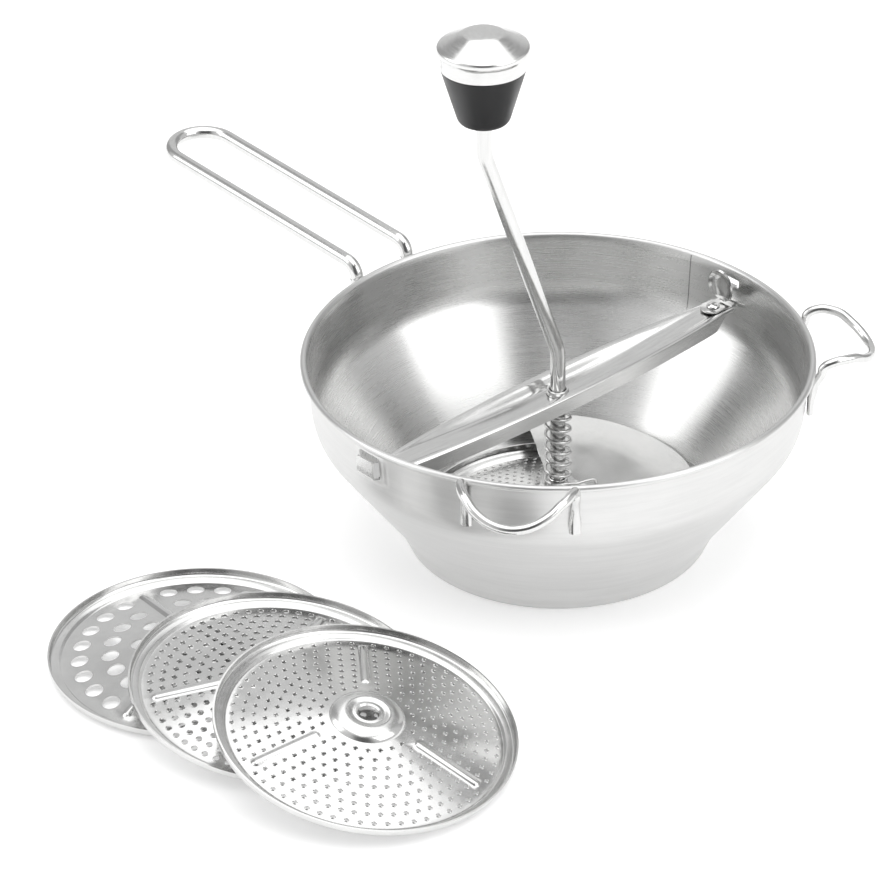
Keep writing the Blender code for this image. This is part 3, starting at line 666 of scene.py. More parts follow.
# %% Bend a wire
def bend_wire(name, points, radius, finish, sides=24, tapers=None):
    """Points in millimetres from the mill's axis become a wire of that radius."""
    mesh = bpy.data.meshes.new(name)
    mesh.from_pydata([at(*p) for p in points], [(i, i + 1) for i in range(len(points) - 1)], [])
    layer = mesh.attributes.new("taper", "FLOAT", "POINT")
    layer.data.foreach_set("value", [1.0] * len(points) if tapers is None else tapers)
    obj = put_in_scene(name, mesh)
    apply_tree(obj, wire_tree, {"Wire Radius": radius * MM, "Sides": sides, "Finish": finish})
    bm = bmesh.new()
    bm.from_mesh(obj.data)
    bmesh.ops.remove_doubles(bm, verts=bm.verts, dist=1e-6)
    bmesh.ops.recalc_face_normals(bm, faces=bm.faces)
    bm.to_mesh(obj.data)
    bm.free()
    return obj


def flatten_ends(obj, path, wire_radius, below, squeeze, widen):
    """Press the wire's welded ends flat against the wall, below a height."""
    for vert in obj.data.vertices:
        place = (vert.co - MILL) / MM
        share = smoothstep((below - place.z) / 6.0)
        if share <= 0.0:
            continue
        line = min(path, key=lambda p: (p - place).length_squared)
        offset = place - line
        outward = Vector((line.x, line.y, 0.0)).normalized()
        across = Vector((-outward.y, outward.x, 0.0))
        pressed_in = outward * offset.dot(outward) * (1.0 + (squeeze - 1.0) * share)
        spread = across * offset.dot(across) * (1.0 + (widen - 1.0) * share)
        shift = outward * (squeeze - 1.0) * share * wire_radius
        vert.co = MILL + (line + pressed_in + spread + shift + Vector((0, 0, offset.z))) * MM


print("wires can be bent")

# %% [markdown]
# The long handle is one wire bent into a loop. Its two ends turn down over the rim and are
# welded to the outside of the band.

# %% Long handle
HANDLE_RADIUS = 3.25
HANDLE_HALF = 16.2
HANDLE_REACH = 272.2
handle_rise = math.tan(math.radians(3.5))
handle_height = RIM_HEIGHT + 3.8


def beside_wall(z, extra, half, radius):
    reach = band_radius(z) + radius + 0.3 + extra
    return -math.sqrt(reach * reach - half * half)


over_rim = beside_wall(RIM_HEIGHT - 3.0, 3.2, HANDLE_HALF, HANDLE_RADIUS)
handle_leg = [
    (beside_wall(66.0, 0.9, HANDLE_HALF, HANDLE_RADIUS), HANDLE_HALF, 66.0),
    (beside_wall(82.0, 0.2, HANDLE_HALF, HANDLE_RADIUS), HANDLE_HALF, 82.0),
    (over_rim, HANDLE_HALF, 91.0),
    (over_rim, HANDLE_HALF, handle_height),
    (-200.0, HANDLE_HALF, handle_height + handle_rise * (200.0 + over_rim)),
]
handle_side = round_corners(handle_leg, (10.0, 8.0, 7.0))
handle_path = list(handle_side)
for turn_angle in np.linspace(math.pi / 2.0, -math.pi / 2.0, 33):
    reach = HANDLE_REACH - HANDLE_HALF + HANDLE_HALF * math.cos(turn_angle)
    height = handle_height + handle_rise * (reach + over_rim)
    handle_path.append(Vector((-reach, HANDLE_HALF * math.sin(turn_angle), height)))
handle_path += [Vector((p.x, -p.y, p.z)) for p in reversed(handle_side)]
handle = bend_wire("handle_loop", handle_path, HANDLE_RADIUS, wire_steel, 32)
finish_piece(handle, "mill_bowl", "long_handle", 50.0)

# %% [markdown]
# The two rests let the mill stand over a pan. Each is a wire with two flattened legs welded to
# the band, and a loop that rises just outside the rim, reaches out and dips at its tip.

# %% Rest hooks
HOOK_RADIUS = 2.25
HOOK_HALF = 25.5
HOOK_REACH = 147.0


def hook_path(angle):
    gap = HOOK_RADIUS + 0.3
    start = RIM_RADIUS + gap
    spread = math.asin(HOOK_HALF / start)
    legs = [
        (band_radius(73.0) + gap + 0.2, 70.5), (band_radius(84.0) + gap, 84.0),
        (start, 91.5), (start + 0.4, 94.0),
    ]
    crest = [(0.0, 96.2), (4.5, 97.8), (12.0, 97.0), (19.0, 92.6), (HOOK_REACH - start, 88.6)]
    out = Vector((math.cos(angle), math.sin(angle), 0.0))
    across = Vector((-out.y, out.x, 0.0))
    root = start * math.cos(spread) + 2.6
    loop = []
    for turn_angle in np.linspace(0.0, math.pi, 17):
        reach = (HOOK_REACH - root) * math.sin(turn_angle)
        side = HOOK_HALF * math.cos(turn_angle) * (1.0 - 0.02 * reach / HOOK_HALF)
        height = interpolate(crest, reach - 1.0)
        loop.append(out * (root + reach) - across * side + Vector((0.0, 0.0, height)))
    left = [polar(r, angle - spread, z) for r, z in legs]
    right = [polar(r, angle + spread, z) for r, z in reversed(legs)]
    return spline(left + loop + right, 6)


for name, node, angle_deg in (("rest_front", "front_hook", -52.0), ("rest_side", "side_hook", 52.0)):
    path = hook_path(math.radians(angle_deg))
    hook = bend_wire(name, path, HOOK_RADIUS, wire_steel, 24)
    flatten_ends(hook, path, HOOK_RADIUS, 82.0, 0.78, 1.25)
    finish_piece(hook, "mill_bowl", node, 50.0)

# %% [markdown]
# ## The crank
# The crank is one bent rod. It stands on the mill's axis, leans out to the knob's axis and ends
# upright inside the knob. Its lower tip is turned down to a peg that sits in the disc's hole.

# %% Crank rod
ROD_RADIUS = 3.6
ROD_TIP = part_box("crank_rod")[0].z / MM
ROD_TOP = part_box("crank_rod")[1].z / MM
rod_corners = [
    (0.0, 0.0, ROD_TIP + 2.6), (0.0, 0.0, 96.5),
    (THROW.x, THROW.y, 198.7), (THROW.x, THROW.y, ROD_TOP),
]
rod_path = [Vector((0.0, 0.0, ROD_TIP)), Vector((0.0, 0.0, ROD_TIP + 0.5))]
rod_path += round_corners(rod_corners, (24.0, 24.0), 1.2)
rod_tapers = [0.45, 0.55] + [1.0] * (len(rod_path) - 2)
rod = bend_wire("crank_bar", rod_path, ROD_RADIUS, wire_steel, 32, rod_tapers)
finish_piece(rod, "crank", "crank_rod", 50.0)

# %% [markdown]
# The knob is a tapered moulding under a pressed steel cap. Cap and grip are turned profiles, the
# cap with a rolled lower edge and a shallow cone with a flat crown. The sleeve inside and the
# ring that keeps the knob on the rod are turned too.

# %% Knob
grip_edge = [(6.2, 249.6), (17.9, 249.6), (18.4, 248.9), (18.5, 243.4), (19.2, 242.9), (19.5, 242.4)]
grip_side = straight((19.5, 242.4), (12.7, 219.4), 8)
grip_foot = bezier((12.7, 219.4), (11.9, 215.9), (9.6, 215.6), 6) + [(5.9, 215.6), (5.6, 215.9)]
grip_bore = [(5.6, 240.0), (9.3, 240.0), (9.3, 246.0), (6.2, 246.0)]
grip = turned_piece("knob_body", grip_edge + grip_side + grip_foot + grip_bore, 96, grip_black, KNOB)
finish_piece(grip, "knob", "knob_grip", 25.0)

crown = bezier((0.0, 260.2), (7.5, 260.25), (9.8, 259.3), 6)
cone_side = bezier((9.8, 259.3), (15.5, 256.2), (20.2, 253.9), 8)[1:]
roll = bezier((20.2, 253.9), (21.3, 253.3), (21.2, 251.9), 4)[1:]
roll += [(21.15, 251.2), (20.7, 250.5), (20.35, 250.0)]
skirt = [(20.2, 249.2), (19.95, 244.0), (19.85, 243.2), (19.6, 243.0), (19.05, 243.0)]
cap_inside = [(18.95, 243.4), (19.4, 250.4), (19.5, 251.9), (9.2, 257.9), (0.0, 258.6)]
cap_line = crown + cone_side + roll + skirt + cap_inside
cap = turned_piece("knob_crown", cap_line, 128, cap_steel, KNOB, closed=False)
finish_piece(cap, "knob", "knob_cap", 28.0)

sleeve_line = [(5.3, 239.7), (5.3, 216.5), (5.0, 216.2), (4.2, 216.2), (3.9, 216.6), (3.9, 239.7)]
sleeve = turned_piece("knob_bearing", sleeve_line, 48, sleeve_grey, KNOB)
finish_piece(sleeve, "knob", "knob_sleeve")
ring_line = [(7.3, 241.6), (7.6, 241.3), (7.6, 240.7), (7.3, 240.4), (3.85, 240.4), (3.85, 241.6)]
keeper = turned_piece("knob_keeper", ring_line, 48, cap_steel, KNOB)
finish_piece(keeper, "crank", "knob_retaining_ring")

# %% [markdown]
# ## The bar
# The bar is a sheet pressed into a channel: two rails with turned-down flanges, and a web
# between them that dips to the middle, where the crank's bush is set. It narrows to both ends.
# The rule for its section changes along its length, so it is laid out as a grid of points whose
# columns follow that rule. Its front end runs out through the slot and turns up as a lug.

# %% Bar section
BAR_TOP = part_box("latch_leaf")[0].z / MM - 0.3
BAR_REACH = 104.0
BAR_ROUNDED_FROM = 108.0
BAR_BACK = 114.3
BAR_HALF = 13.0
BAR_END_HALF = 7.0
BAR_DEPTH = 7.5
BAR_DISH = 5.4
BAR_SHEET = 1.0
SHEET_RIM = 1.5


def bar_half(y):
    middle = math.cos(min(abs(y) / BAR_REACH, 1.0) * math.pi / 2.0)
    half = BAR_END_HALF + (BAR_HALF - BAR_END_HALF) * middle ** 0.8
    if y > BAR_ROUNDED_FROM:
        half *= 1.0 - 0.32 * ((y - BAR_ROUNDED_FROM) / (BAR_BACK - BAR_ROUNDED_FROM)) ** 3
    return half


def bar_section(y):
    """Points across the bar: flange, rounded rail, dished web, rounded rail, flange."""
    half = bar_half(y)
    fade = smoothstep((abs(y) - 96.0) / 10.0)
    depth = BAR_DEPTH + (2.0 - BAR_DEPTH) * fade
    dish = BAR_DISH * smoothstep(1.15 - abs(y) / 95.0)
    rail = SHEET_RIM
    side = [(half + 0.6 * (1.0 - fade), BAR_TOP - depth),
            (half + 0.3 * (1.0 - fade), BAR_TOP - rail - (depth - rail) * 0.5)]
    side += [(half - rail + rail * math.cos(a), BAR_TOP - rail + rail * math.sin(a))
             for a in np.radians((0, 18, 36, 54, 72, 90))]
    inner = min(half * 0.76, half - rail - 0.3)
    step = half * 0.3
    for share in (0.0, 0.12, 0.25, 0.4, 0.55, 0.7, 0.85, 1.0):
        side.append((inner - step * share, BAR_TOP - (0.25 + dish) * smoothstep(share)))
    web_low = BAR_TOP - 0.25 - dish
    side += [((inner - step) * 0.66, web_low), ((inner - step) * 0.33, web_low)]
    return [(-x, z) for x, z in side] + [(0.0, web_low)] + list(reversed(side))


print("points across the bar:", len(bar_section(0.0)))

# %% Bar mesh
wall_reach = band_radius(80.0)
lug_y = -(wall_reach + 3.4)
stations = list(np.linspace(-BAR_REACH, BAR_REACH, 66)) + list(np.linspace(105.0, 114.0, 10)) + [BAR_BACK]
rows = [[Vector((x, y, z)) for x, z in bar_section(y)] for y in stations]
tongue = [(-106.5, 0.0), (-109.0, 0.0), (-113.0, 0.0), (lug_y + 1.6, 0.0), (lug_y + 0.9, 0.15),
          (lug_y + 0.3, 0.55), (lug_y, 1.3), (lug_y, 4.0), (lug_y, 7.8), (lug_y, 9.0)]
end_section = bar_section(-BAR_REACH)
shares = [x / bar_half(-BAR_REACH) for x, _ in end_section]
for y, lift in tongue:
    edge = max(5.2, BAR_END_HALF + (y + BAR_REACH) * 0.4)
    if lift > 8.5:
        edge = 4.7
    flat = smoothstep((-BAR_REACH - y) / 5.0)
    row = []
    for i, (share, (_, z)) in enumerate(zip(shares, end_section)):
        spread = share + (2.0 * i / (len(shares) - 1) - 1.0 - share) * flat
        row.append(Vector((edge * spread, y, BAR_TOP + lift + (z - BAR_TOP) * (1.0 - flat))))
    rows.insert(0, row)
bm = bmesh.new()
grid = [[bm.verts.new(MILL + p * MM) for p in row] for row in rows]
for row, following in zip(grid, grid[1:]):
    for i in range(len(row) - 1):
        bm.faces.new((row[i], row[i + 1], following[i + 1], following[i]))
bar = solidify(piece_from("bar_channel", bm, [bar_steel]), BAR_SHEET, -1.0, even=False)


def round_cutter(name, radius, low, high, x, y):
    bm = bmesh.new()
    side = [(0.0, high), (radius, high), (radius, low), (0.0, low)]
    turn(bm, side, round_angles(48), at(x, y, 0.0), closed=False)
    bmesh.ops.recalc_face_normals(bm, faces=bm.faces)
    return piece_from(name, bm, [])


RIVET_Y = box_middle("latch_rivet").y / MM - MILL.y / MM
cut(bar, round_cutter("bush_cutter", 5.5, 60.0, 85.0, 0.0, 0.0))
cut(bar, round_cutter("rivet_cutter", 2.3, 75.0, 82.0, 0.0, RIVET_Y))
finish_piece(bar, "bridge_bar", "bridge", 30.0)

# %% Bush and rivet
bush_line = [(4.6, 76.2), (5.0, 76.0), (5.2, 75.6), (5.2, 72.2), (7.0, 72.2), (7.0, 71.2),
             (3.9, 71.2), (3.9, 75.9), (4.2, 76.2)]
bush = turned_piece("bar_bush", bush_line, 64, wire_steel, MILL)
finish_piece(bush, "bridge_bar", "bridge_bush")
rivet_low, rivet_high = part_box("latch_rivet")
head = rivet_high.z / MM - 1.4
foot = rivet_low.z / MM + 1.2
rivet_head = [(0.0, head + 1.4), (1.2, head + 1.32), (2.3, head + 0.95), (3.0, head + 0.4), (3.2, head)]
rivet_shank = [(2.0, head), (2.0, foot)]
rivet_foot = [(3.0, foot), (2.6, foot - 0.9), (1.4, foot - 1.15), (0.0, foot - 1.2)]
rivet_line = rivet_head + rivet_shank + rivet_foot
rivet = turned_piece("latch_pin", rivet_line, 40, wire_steel, at(0.0, RIVET_Y, 0.0), closed=False)
finish_piece(rivet, "bridge_bar", "latch_rivet")

# %% [markdown]
# ## The latch
# The latch is a strip of spring steel. Its flat end is riveted to the bar. Its free end turns up
# into a dished thumb tab with a curled rim, and a nose on its back catches in the bowl's wall.

# %% Leaf and thumb tab
TAB_Y = 110.0
TAB_Z = BAR_TOP + 0.7
leaf_low, leaf_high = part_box("latch_leaf")
leaf_back = (leaf_high.y - MILL.y) / MM
leaf_front = (leaf_low.y - MILL.y) / MM
LEAF_HALF = 5.5
outline = [(LEAF_HALF, leaf_back), (-LEAF_HALF, leaf_back)]
outline += [(-LEAF_HALF * math.cos(a), leaf_front + LEAF_HALF - LEAF_HALF * math.sin(a))
            for a in np.linspace(0.0, math.pi, 25)]
bm = bmesh.new()
strip = bm.faces.new([bm.verts.new(at(x, y, leaf_low.z / MM)) for x, y in outline])
raised = bmesh.ops.extrude_face_region(bm, geom=[strip])
bmesh.ops.translate(bm, verts=[g for g in raised["geom"] if isinstance(g, bmesh.types.BMVert)],
                    vec=(0.0, 0.0, leaf_high.z - leaf_low.z))
bmesh.ops.recalc_face_normals(bm, faces=bm.faces)
leaf = piece_from("latch_strip", bm, [spring_steel])
leaf_edge = leaf.modifiers.new("rounded edge", "BEVEL")
leaf_edge.width = 0.18 * MM
leaf_edge.segments = 2
freeze(leaf)
finish_piece(leaf, "bridge_bar", "latch_leaf", 40.0)

TAB_HALF = 7.8
TAB_HIGH = 18.0
TAB_MIDDLE = 9.4
TAB_SHEET = 0.9


def tab_point(angle, share):
    """A point of the dished tab: oval above, drawn in to the strip's width below."""
    x = TAB_HALF * math.cos(angle) * share
    z = TAB_MIDDLE + (TAB_HIGH - TAB_MIDDLE) * math.sin(angle) * share
    if z < 5.0:
        x *= 1.0 - 0.28 * smoothstep((5.0 - z) / 5.0)
    curl = -2.6 * share ** 4 * smoothstep(z / 6.0)
    z = max(z, 0.4)
    root = max(2.0 - z, 0.0) / 1.6
    return Vector((x, curl - 1.3 * root * root, z))


bm = bmesh.new()
middle = bm.verts.new(at(0.0, TAB_Y, TAB_Z + TAB_MIDDLE))
loops = []
for share in np.linspace(0.0, 1.0, 13)[1:]:
    ring = [bm.verts.new(at(0.0, TAB_Y, TAB_Z) + tab_point(a, share) * MM) for a in round_angles(72)]
    loops.append(ring)
for i in range(72):
    j = (i + 1) % 72
    bm.faces.new((middle, loops[0][i], loops[0][j]))
    for inner, outer in zip(loops, loops[1:]):
        bm.faces.new((inner[i], outer[i], outer[j], inner[j]))
bmesh.ops.recalc_face_normals(bm, faces=bm.faces)
tab = solidify(piece_from("thumb_dish", bm, [spring_steel]), TAB_SHEET)
nose = bmesh.new()
bmesh.ops.create_cube(nose, size=1.0, matrix=Matrix.Diagonal(Vector((6.0 * MM, 6.4 * MM, 1.2 * MM, 1.0))))
bmesh.ops.bevel(nose, geom=nose.edges[:], offset=0.4 * MM, segments=3, affect="EDGES", profile=0.5)
bmesh.ops.translate(nose, verts=nose.verts, vec=at(0.0, TAB_Y + 3.4, 87.0))
nose_mesh = bpy.data.meshes.new("nose")
nose.to_mesh(nose_mesh)
nose.free()
join_mesh(tab, nose_mesh)
finish_piece(tab, "latch_tab", "thumb_tab", 40.0)

# %% [markdown]
# ## The spring
# The spring is a coil whose end turns are closed up. Its lower end reaches out over the blade's
# dome and turns down into a small hook. The path follows that rule and the same wire tree makes
# it solid. Lifting the crank shortens the spring towards its upper end; the coil here is built at
# one length.

# %% Spring
SPRING_TURNS = 7.5
SPRING_RADIUS = 5.9
SPRING_WIRE = 0.8
SPRING_LOW = 26.7
SPRING_HIGH = 68.7
tail = math.radians(46.3)


def coil_height(share):
    """Height share along the coil: the end turns are close, the middle ones even."""
    ends = 0.09
    slope = 1.0 / (1.0 - ends)
    if share < ends:
        return slope * share * share / (2.0 * ends)
    if share > 1.0 - ends:
        return 1.0 - slope * (1.0 - share) ** 2 / (2.0 * ends)
    return slope * (share - ends / 2.0)


hook_end = spline([
    polar(18.2, tail - 0.02, SPRING_LOW - 4.6), polar(17.9, tail, SPRING_LOW - 1.8),
    polar(16.4, tail, SPRING_LOW - 0.4), polar(10.0, tail - 0.45, SPRING_LOW),
], 5)
coil = []
for k in range(int(SPRING_TURNS * 32) + 1):
    turns = k / 32.0
    z = SPRING_LOW + (SPRING_HIGH - SPRING_LOW) * coil_height(turns / SPRING_TURNS)
    coil.append(polar(SPRING_RADIUS, tail - 0.9 - 2.0 * math.pi * turns, z))
spring = bend_wire("press_spring", hook_end + coil, SPRING_WIRE, spring_steel, 12)
finish_piece(spring, "spindle", "spring", 60.0)
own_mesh(spring)
seat_line = [(6.9, 70.9), (7.2, 70.6), (7.2, 70.1), (6.9, 69.8), (4.1, 69.8), (4.1, 70.9)]
seat = turned_piece("spring_seat", seat_line, 48, wire_steel, MILL)
finish_piece(seat, "spindle", "spring_seat_washer")

# %% [markdown]
# ## The blade
# The blade is a sheet with a dome round the rod and one wing that climbs round the axis, low
# where it trails over the disc and high where it leads. Turning pushes food under it. It follows
# a rule in two directions, so it is laid out as a grid of points over angle and radius.

# %% Blade
BLADE_FROM = math.radians(5.0)
BLADE_TO = math.radians(150.0)
BLADE_COLUMNS = 120
BLADE_SHEET = 1.2
DOME_EDGE = 18.0
DOME_FOOT = 12.3
blade_span = BLADE_TO - BLADE_FROM


def blade_climb(angle):
    turned_by = (angle - BLADE_FROM) % (2.0 * math.pi)
    if turned_by > blade_span:
        rest = (turned_by - blade_span) / (2.0 * math.pi - blade_span)
        return 1.0 - smoothstep(rest * 2.2)
    return smoothstep(turned_by / blade_span * 1.02)


def wing_point(share, angle):
    climb = blade_climb(angle)
    outer = 59.5 + 15.0 * smoothstep(climb * 1.6)
    low = DOME_FOOT - 8.5 * share
    high = 14.3 + 3.1 * smoothstep(share * 1.3)
    return polar(DOME_EDGE + (outer - DOME_EDGE) * share, angle, low + (high - low) * climb)


dome_side = [(6.8, 21.2), (9.0, 20.6), (12.0, 17.8), (15.0, 14.6), (DOME_EDGE, DOME_FOOT)]
dome_line = spline([(radius, height, 0.0) for radius, height in dome_side], 4)
blade_angles = [BLADE_FROM + 2.0 * math.pi * i / BLADE_COLUMNS for i in range(BLADE_COLUMNS)]
wing_columns = round(blade_span / (2.0 * math.pi) * BLADE_COLUMNS)
bm = bmesh.new()
dome = []
for radius, height, _ in dome_line:
    lift = 2.0 * smoothstep((radius - 9.0) / 9.0)
    ring = [polar(radius, a, height + lift * blade_climb(a)) for a in blade_angles]
    dome.append([bm.verts.new(MILL + p * MM) for p in ring])
for inner, outer in zip(dome, dome[1:]):
    for i in range(BLADE_COLUMNS):
        j = (i + 1) % BLADE_COLUMNS
        bm.faces.new((inner[i], outer[i], outer[j], inner[j]))
wing = [dome[-1][:wing_columns + 1]]
for share in np.linspace(0.0, 1.0, 21)[1:]:
    row = [wing_point(share, angle) for angle in blade_angles[:wing_columns + 1]]
    wing.append([bm.verts.new(MILL + p * MM) for p in row])
for inner, outer in zip(wing, wing[1:]):
    for i in range(wing_columns):
        bm.faces.new((inner[i], outer[i], outer[i + 1], inner[i + 1]))
bmesh.ops.recalc_face_normals(bm, faces=bm.faces)
blade = solidify(piece_from("press_blade", bm, [blade_steel]), BLADE_SHEET)
finish_piece(blade, "crank", "blade", 40.0)

hub_line = [(6.0, 24.0), (6.4, 23.6), (6.4, 15.6), (3.9, 15.6), (3.9, 24.0)]
collar = turned_piece("blade_collar", hub_line, 64, blade_steel, MILL)
finish_piece(collar, "crank", "blade_hub")
cup_line = [(4.5, 28.0), (4.7, 27.8), (4.7, 25.4), (7.9, 25.4), (8.2, 25.1), (8.2, 24.4),
            (3.95, 24.4), (3.95, 28.0)]
cup = turned_piece("spring_rest", cup_line, 64, wire_steel, MILL)
finish_piece(cup, "crank", "spring_cup")
PIN_HALF = 6.3
PIN_HEIGHT = 20.5
PIN_RADIUS = 1.2
pin_path = [(x, 0.0, PIN_HEIGHT) for x in (-PIN_HALF, 0.2 - PIN_HALF, PIN_HALF - 0.2, PIN_HALF)]
pin = bend_wire("cross_pin", pin_path, PIN_RADIUS, wire_steel, 24, [0.85, 1.0, 1.0, 0.85])
finish_piece(pin, "crank", "hub_pin", 30.0)

# %% [markdown]
# ## Sieve discs
# A sieve disc is a thin pressed sheet: an upturned rim with a step, a flat field with rows of
# punched holes, three raised ribs, and a dome with a drawn hole that centres the crank. Hundreds
# of holes are best left to a rule. A Geometry Nodes tree sets a circle on every hole's centre,
# fills the flat field around the circles and the ribs' outlines, and leaves the holes open. The
# sheet is then joined to its rim, dome and ribs, and given its thickness.

# %% A tree that punches a sheet
punch_tree, punch = new_tree("punched_sheet", [
    ("Hole Radius", "NodeSocketFloat", 0.001),
    ("Hole Sides", "NodeSocketInt", 12),
    ("Finish", "NodeSocketMaterial", None),
])
is_hole = add_step(punch_tree, "InputNamedAttribute", {"Name": "hole"}, data_type="BOOLEAN")
holes = add_step(punch_tree, "SeparateGeometry", {"Geometry": punch["Geometry"], "Selection": is_hole})
outlines = add_step(punch_tree, "MeshToCurve", {"Mesh": holes.node.outputs["Inverted"]})
centres = add_step(punch_tree, "MeshToPoints", {"Mesh": holes})
edge = add_step(punch_tree, "CurvePrimitiveCircle",
                {"Resolution": punch["Hole Sides"], "Radius": punch["Hole Radius"]})
placed = add_step(punch_tree, "InstanceOnPoints", {"Points": centres, "Instance": edge})
circles = add_step(punch_tree, "RealizeInstances", {"Geometry": placed})
together = add_step(punch_tree, "JoinGeometry", {"Geometry": [circles, outlines]})
end_tree(punch_tree, add_step(punch_tree, "FillCurve", {"Curve": together}), punch["Finish"])

# %% [markdown]
# Punching leaves a small raised lip round each hole. A second tree sets one light ring, of a few
# dozen faces, on every hole's centre.

# %% A tree that sets lips on holes
lip_tree, lip = new_tree("punched_lips", [
    ("Hole Radius", "NodeSocketFloat", 0.001),
    ("Lip Width", "NodeSocketFloat", 0.0003),
    ("Finish", "NodeSocketMaterial", None),
])
lip_centres = add_step(lip_tree, "MeshToPoints", {"Mesh": lip["Geometry"]})
lip_line = add_step(lip_tree, "CurvePrimitiveCircle", {"Resolution": 12, "Radius": lip["Hole Radius"]})
lip_section = add_step(lip_tree, "CurvePrimitiveCircle", {"Resolution": 4, "Radius": lip["Lip Width"]})
lip_body = add_step(lip_tree, "CurveToMesh", {"Curve": lip_line, "Profile Curve": lip_section})
lips_placed = add_step(lip_tree, "InstanceOnPoints", {"Points": lip_centres, "Instance": lip_body})
end_tree(lip_tree, lips_placed, lip["Finish"])

# %% Disc layout
FIELD_OUT = 61.2
FIELD_IN = 16.6
PLATE_EDGE = 61.7
PLATE_SLOPE = 0.2
ROUND = 144
RIB_IN = 24.0
RIB_OUT = 57.5
RIB_HALF = 2.4
SECTOR = 2.0 * math.pi / 3.0
DISC_SHEET = 0.8


def plate_height(radius):
    """Middle of the sheet on the plate, which is a shallow cone that rises to the boss."""
    return 0.4 + PLATE_SLOPE * (PLATE_EDGE - radius)


rim_line = [(FIELD_OUT, plate_height(FIELD_OUT)), (61.8, 0.62), (62.4, 1.15), (63.2, 1.6), (65.2, 1.65),
            (66.2, 1.95), (66.8, 2.7), (67.05, 3.6), (67.1, 5.4)]
boss_line = [(FIELD_IN, plate_height(FIELD_IN)), (16.35, 9.95), (15.8, 10.75), (14.8, 11.65), (13.2, 12.4),
             (11.4, 12.85), (9.8, 12.95), (8.6, 12.8), (7.7, 12.4), (7.1, 12.25), (6.4, 12.45), (5.8, 12.5),
             (5.2, 12.1), (4.95, 11.3), (4.9, 10.3)]


def capsule(half, steps=8):
    """The outline of a rib, from its straight sides to its round ends."""
    line = []
    for i in range(steps + 1):
        a = -math.pi / 2.0 + math.pi * i / steps
        line.append((RIB_OUT - RIB_HALF + half * math.cos(a), half * math.sin(a)))
    for i in range(steps + 1):
        a = math.pi / 2.0 + math.pi * i / steps
        line.append((RIB_IN + RIB_HALF + half * math.cos(a), half * math.sin(a)))
    return line


def hole_centres(rows, radius, rib_clear):
    """Centres in three equal sectors. Each row gives its radius and its holes to a sector."""
    centres = []
    for row_radius, count in rows:
        margin = math.asin(min((RIB_HALF + radius + rib_clear) / row_radius, 0.9))
        open_angle = SECTOR - 2.0 * margin
        for sector in range(3):
            for i in range(count):
                share = i / (count - 1) if count > 1 else 0.5
                centres.append(polar(row_radius, sector * SECTOR + margin + open_angle * share))
    return centres


print("rib outline points:", len(capsule(RIB_HALF)))

# %% Build one disc in its own frame
def add_loop(points, verts, edges):
    first = len(verts)
    verts += points
    edges += [(first + i, first + (i + 1) % len(points)) for i in range(len(points))]


def turned_sheet(bm, line):
    turn(bm, line, round_angles(ROUND), Vector((0.0, 0.0, 0.0)), closed=False)


def rib_sheet(bm, angle):
    """A pressed rib: outline loops that shrink to its crest as they rise."""
    levels = [(1.0, 0.0), (0.84, 0.12), (0.66, 0.62), (0.44, 1.02), (0.2, 1.16)]
    spin = Matrix.Rotation(angle, 3, "Z")
    loops = []
    for share, rise in levels:
        loop = [Vector((x, y, plate_height(math.hypot(x, y)) + rise)) for x, y in capsule(RIB_HALF * share)]
        loops.append([bm.verts.new(spin @ p * MM) for p in loop])
    for low, high in zip(loops, loops[1:]):
        for i in range(len(low)):
            j = (i + 1) % len(low)
            bm.faces.new((low[i], low[j], high[j], high[i]))
    crest = loops[-1]
    half = len(crest) // 2
    for i in range(half - 1):
        bm.faces.new((crest[i], crest[i + 1], crest[half + half - 2 - i], crest[half + half - 1 - i]))


def punched_disc(name, rows, radius, sides, finish, lips, rib_clear):
    centres = hole_centres(rows, radius, rib_clear)
    verts = [Vector((c.x, c.y, 0.0)) * MM for c in centres]
    edges = []
    add_loop([polar(FIELD_OUT, a) * MM for a in round_angles(ROUND)], verts, edges)
    add_loop([polar(FIELD_IN, a) * MM for a in round_angles(ROUND)], verts, edges)
    for k in range(3):
        spin = Matrix.Rotation(k * SECTOR, 3, "Z")
        add_loop([spin @ Vector((x, y, 0.0)) * MM for x, y in capsule(RIB_HALF)], verts, edges)
    mesh = bpy.data.meshes.new(name)
    mesh.from_pydata(verts, edges, [])
    flag = mesh.attributes.new("hole", "BOOLEAN", "POINT")
    flag.data.foreach_set("value", [i < len(centres) for i in range(len(verts))])
    obj = put_in_scene(name, mesh)
    apply_tree(obj, punch_tree, {"Hole Radius": radius * MM, "Hole Sides": sides, "Finish": finish})
    bm = bmesh.new()
    bm.from_mesh(obj.data)
    for vert in bm.verts:
        vert.co.z = plate_height(math.hypot(vert.co.x, vert.co.y) / MM) * MM
    turned_sheet(bm, rim_line)
    turned_sheet(bm, boss_line)
    for k in range(3):
        rib_sheet(bm, k * SECTOR)
    bmesh.ops.remove_doubles(bm, verts=bm.verts, dist=2e-5)
    bmesh.ops.recalc_face_normals(bm, faces=bm.faces)
    if sum(f.normal.z for f in bm.faces) < 0.0:
        bmesh.ops.reverse_faces(bm, faces=bm.faces)
    bm.to_mesh(obj.data)
    bm.free()
    if not obj.data.materials:
        obj.data.materials.append(finish)
    solidify(obj, DISC_SHEET)
    if lips > 0.0:
        add_lips(obj, centres, radius, lips, finish)
    print(f"{name}: {len(centres)} holes")
    return obj


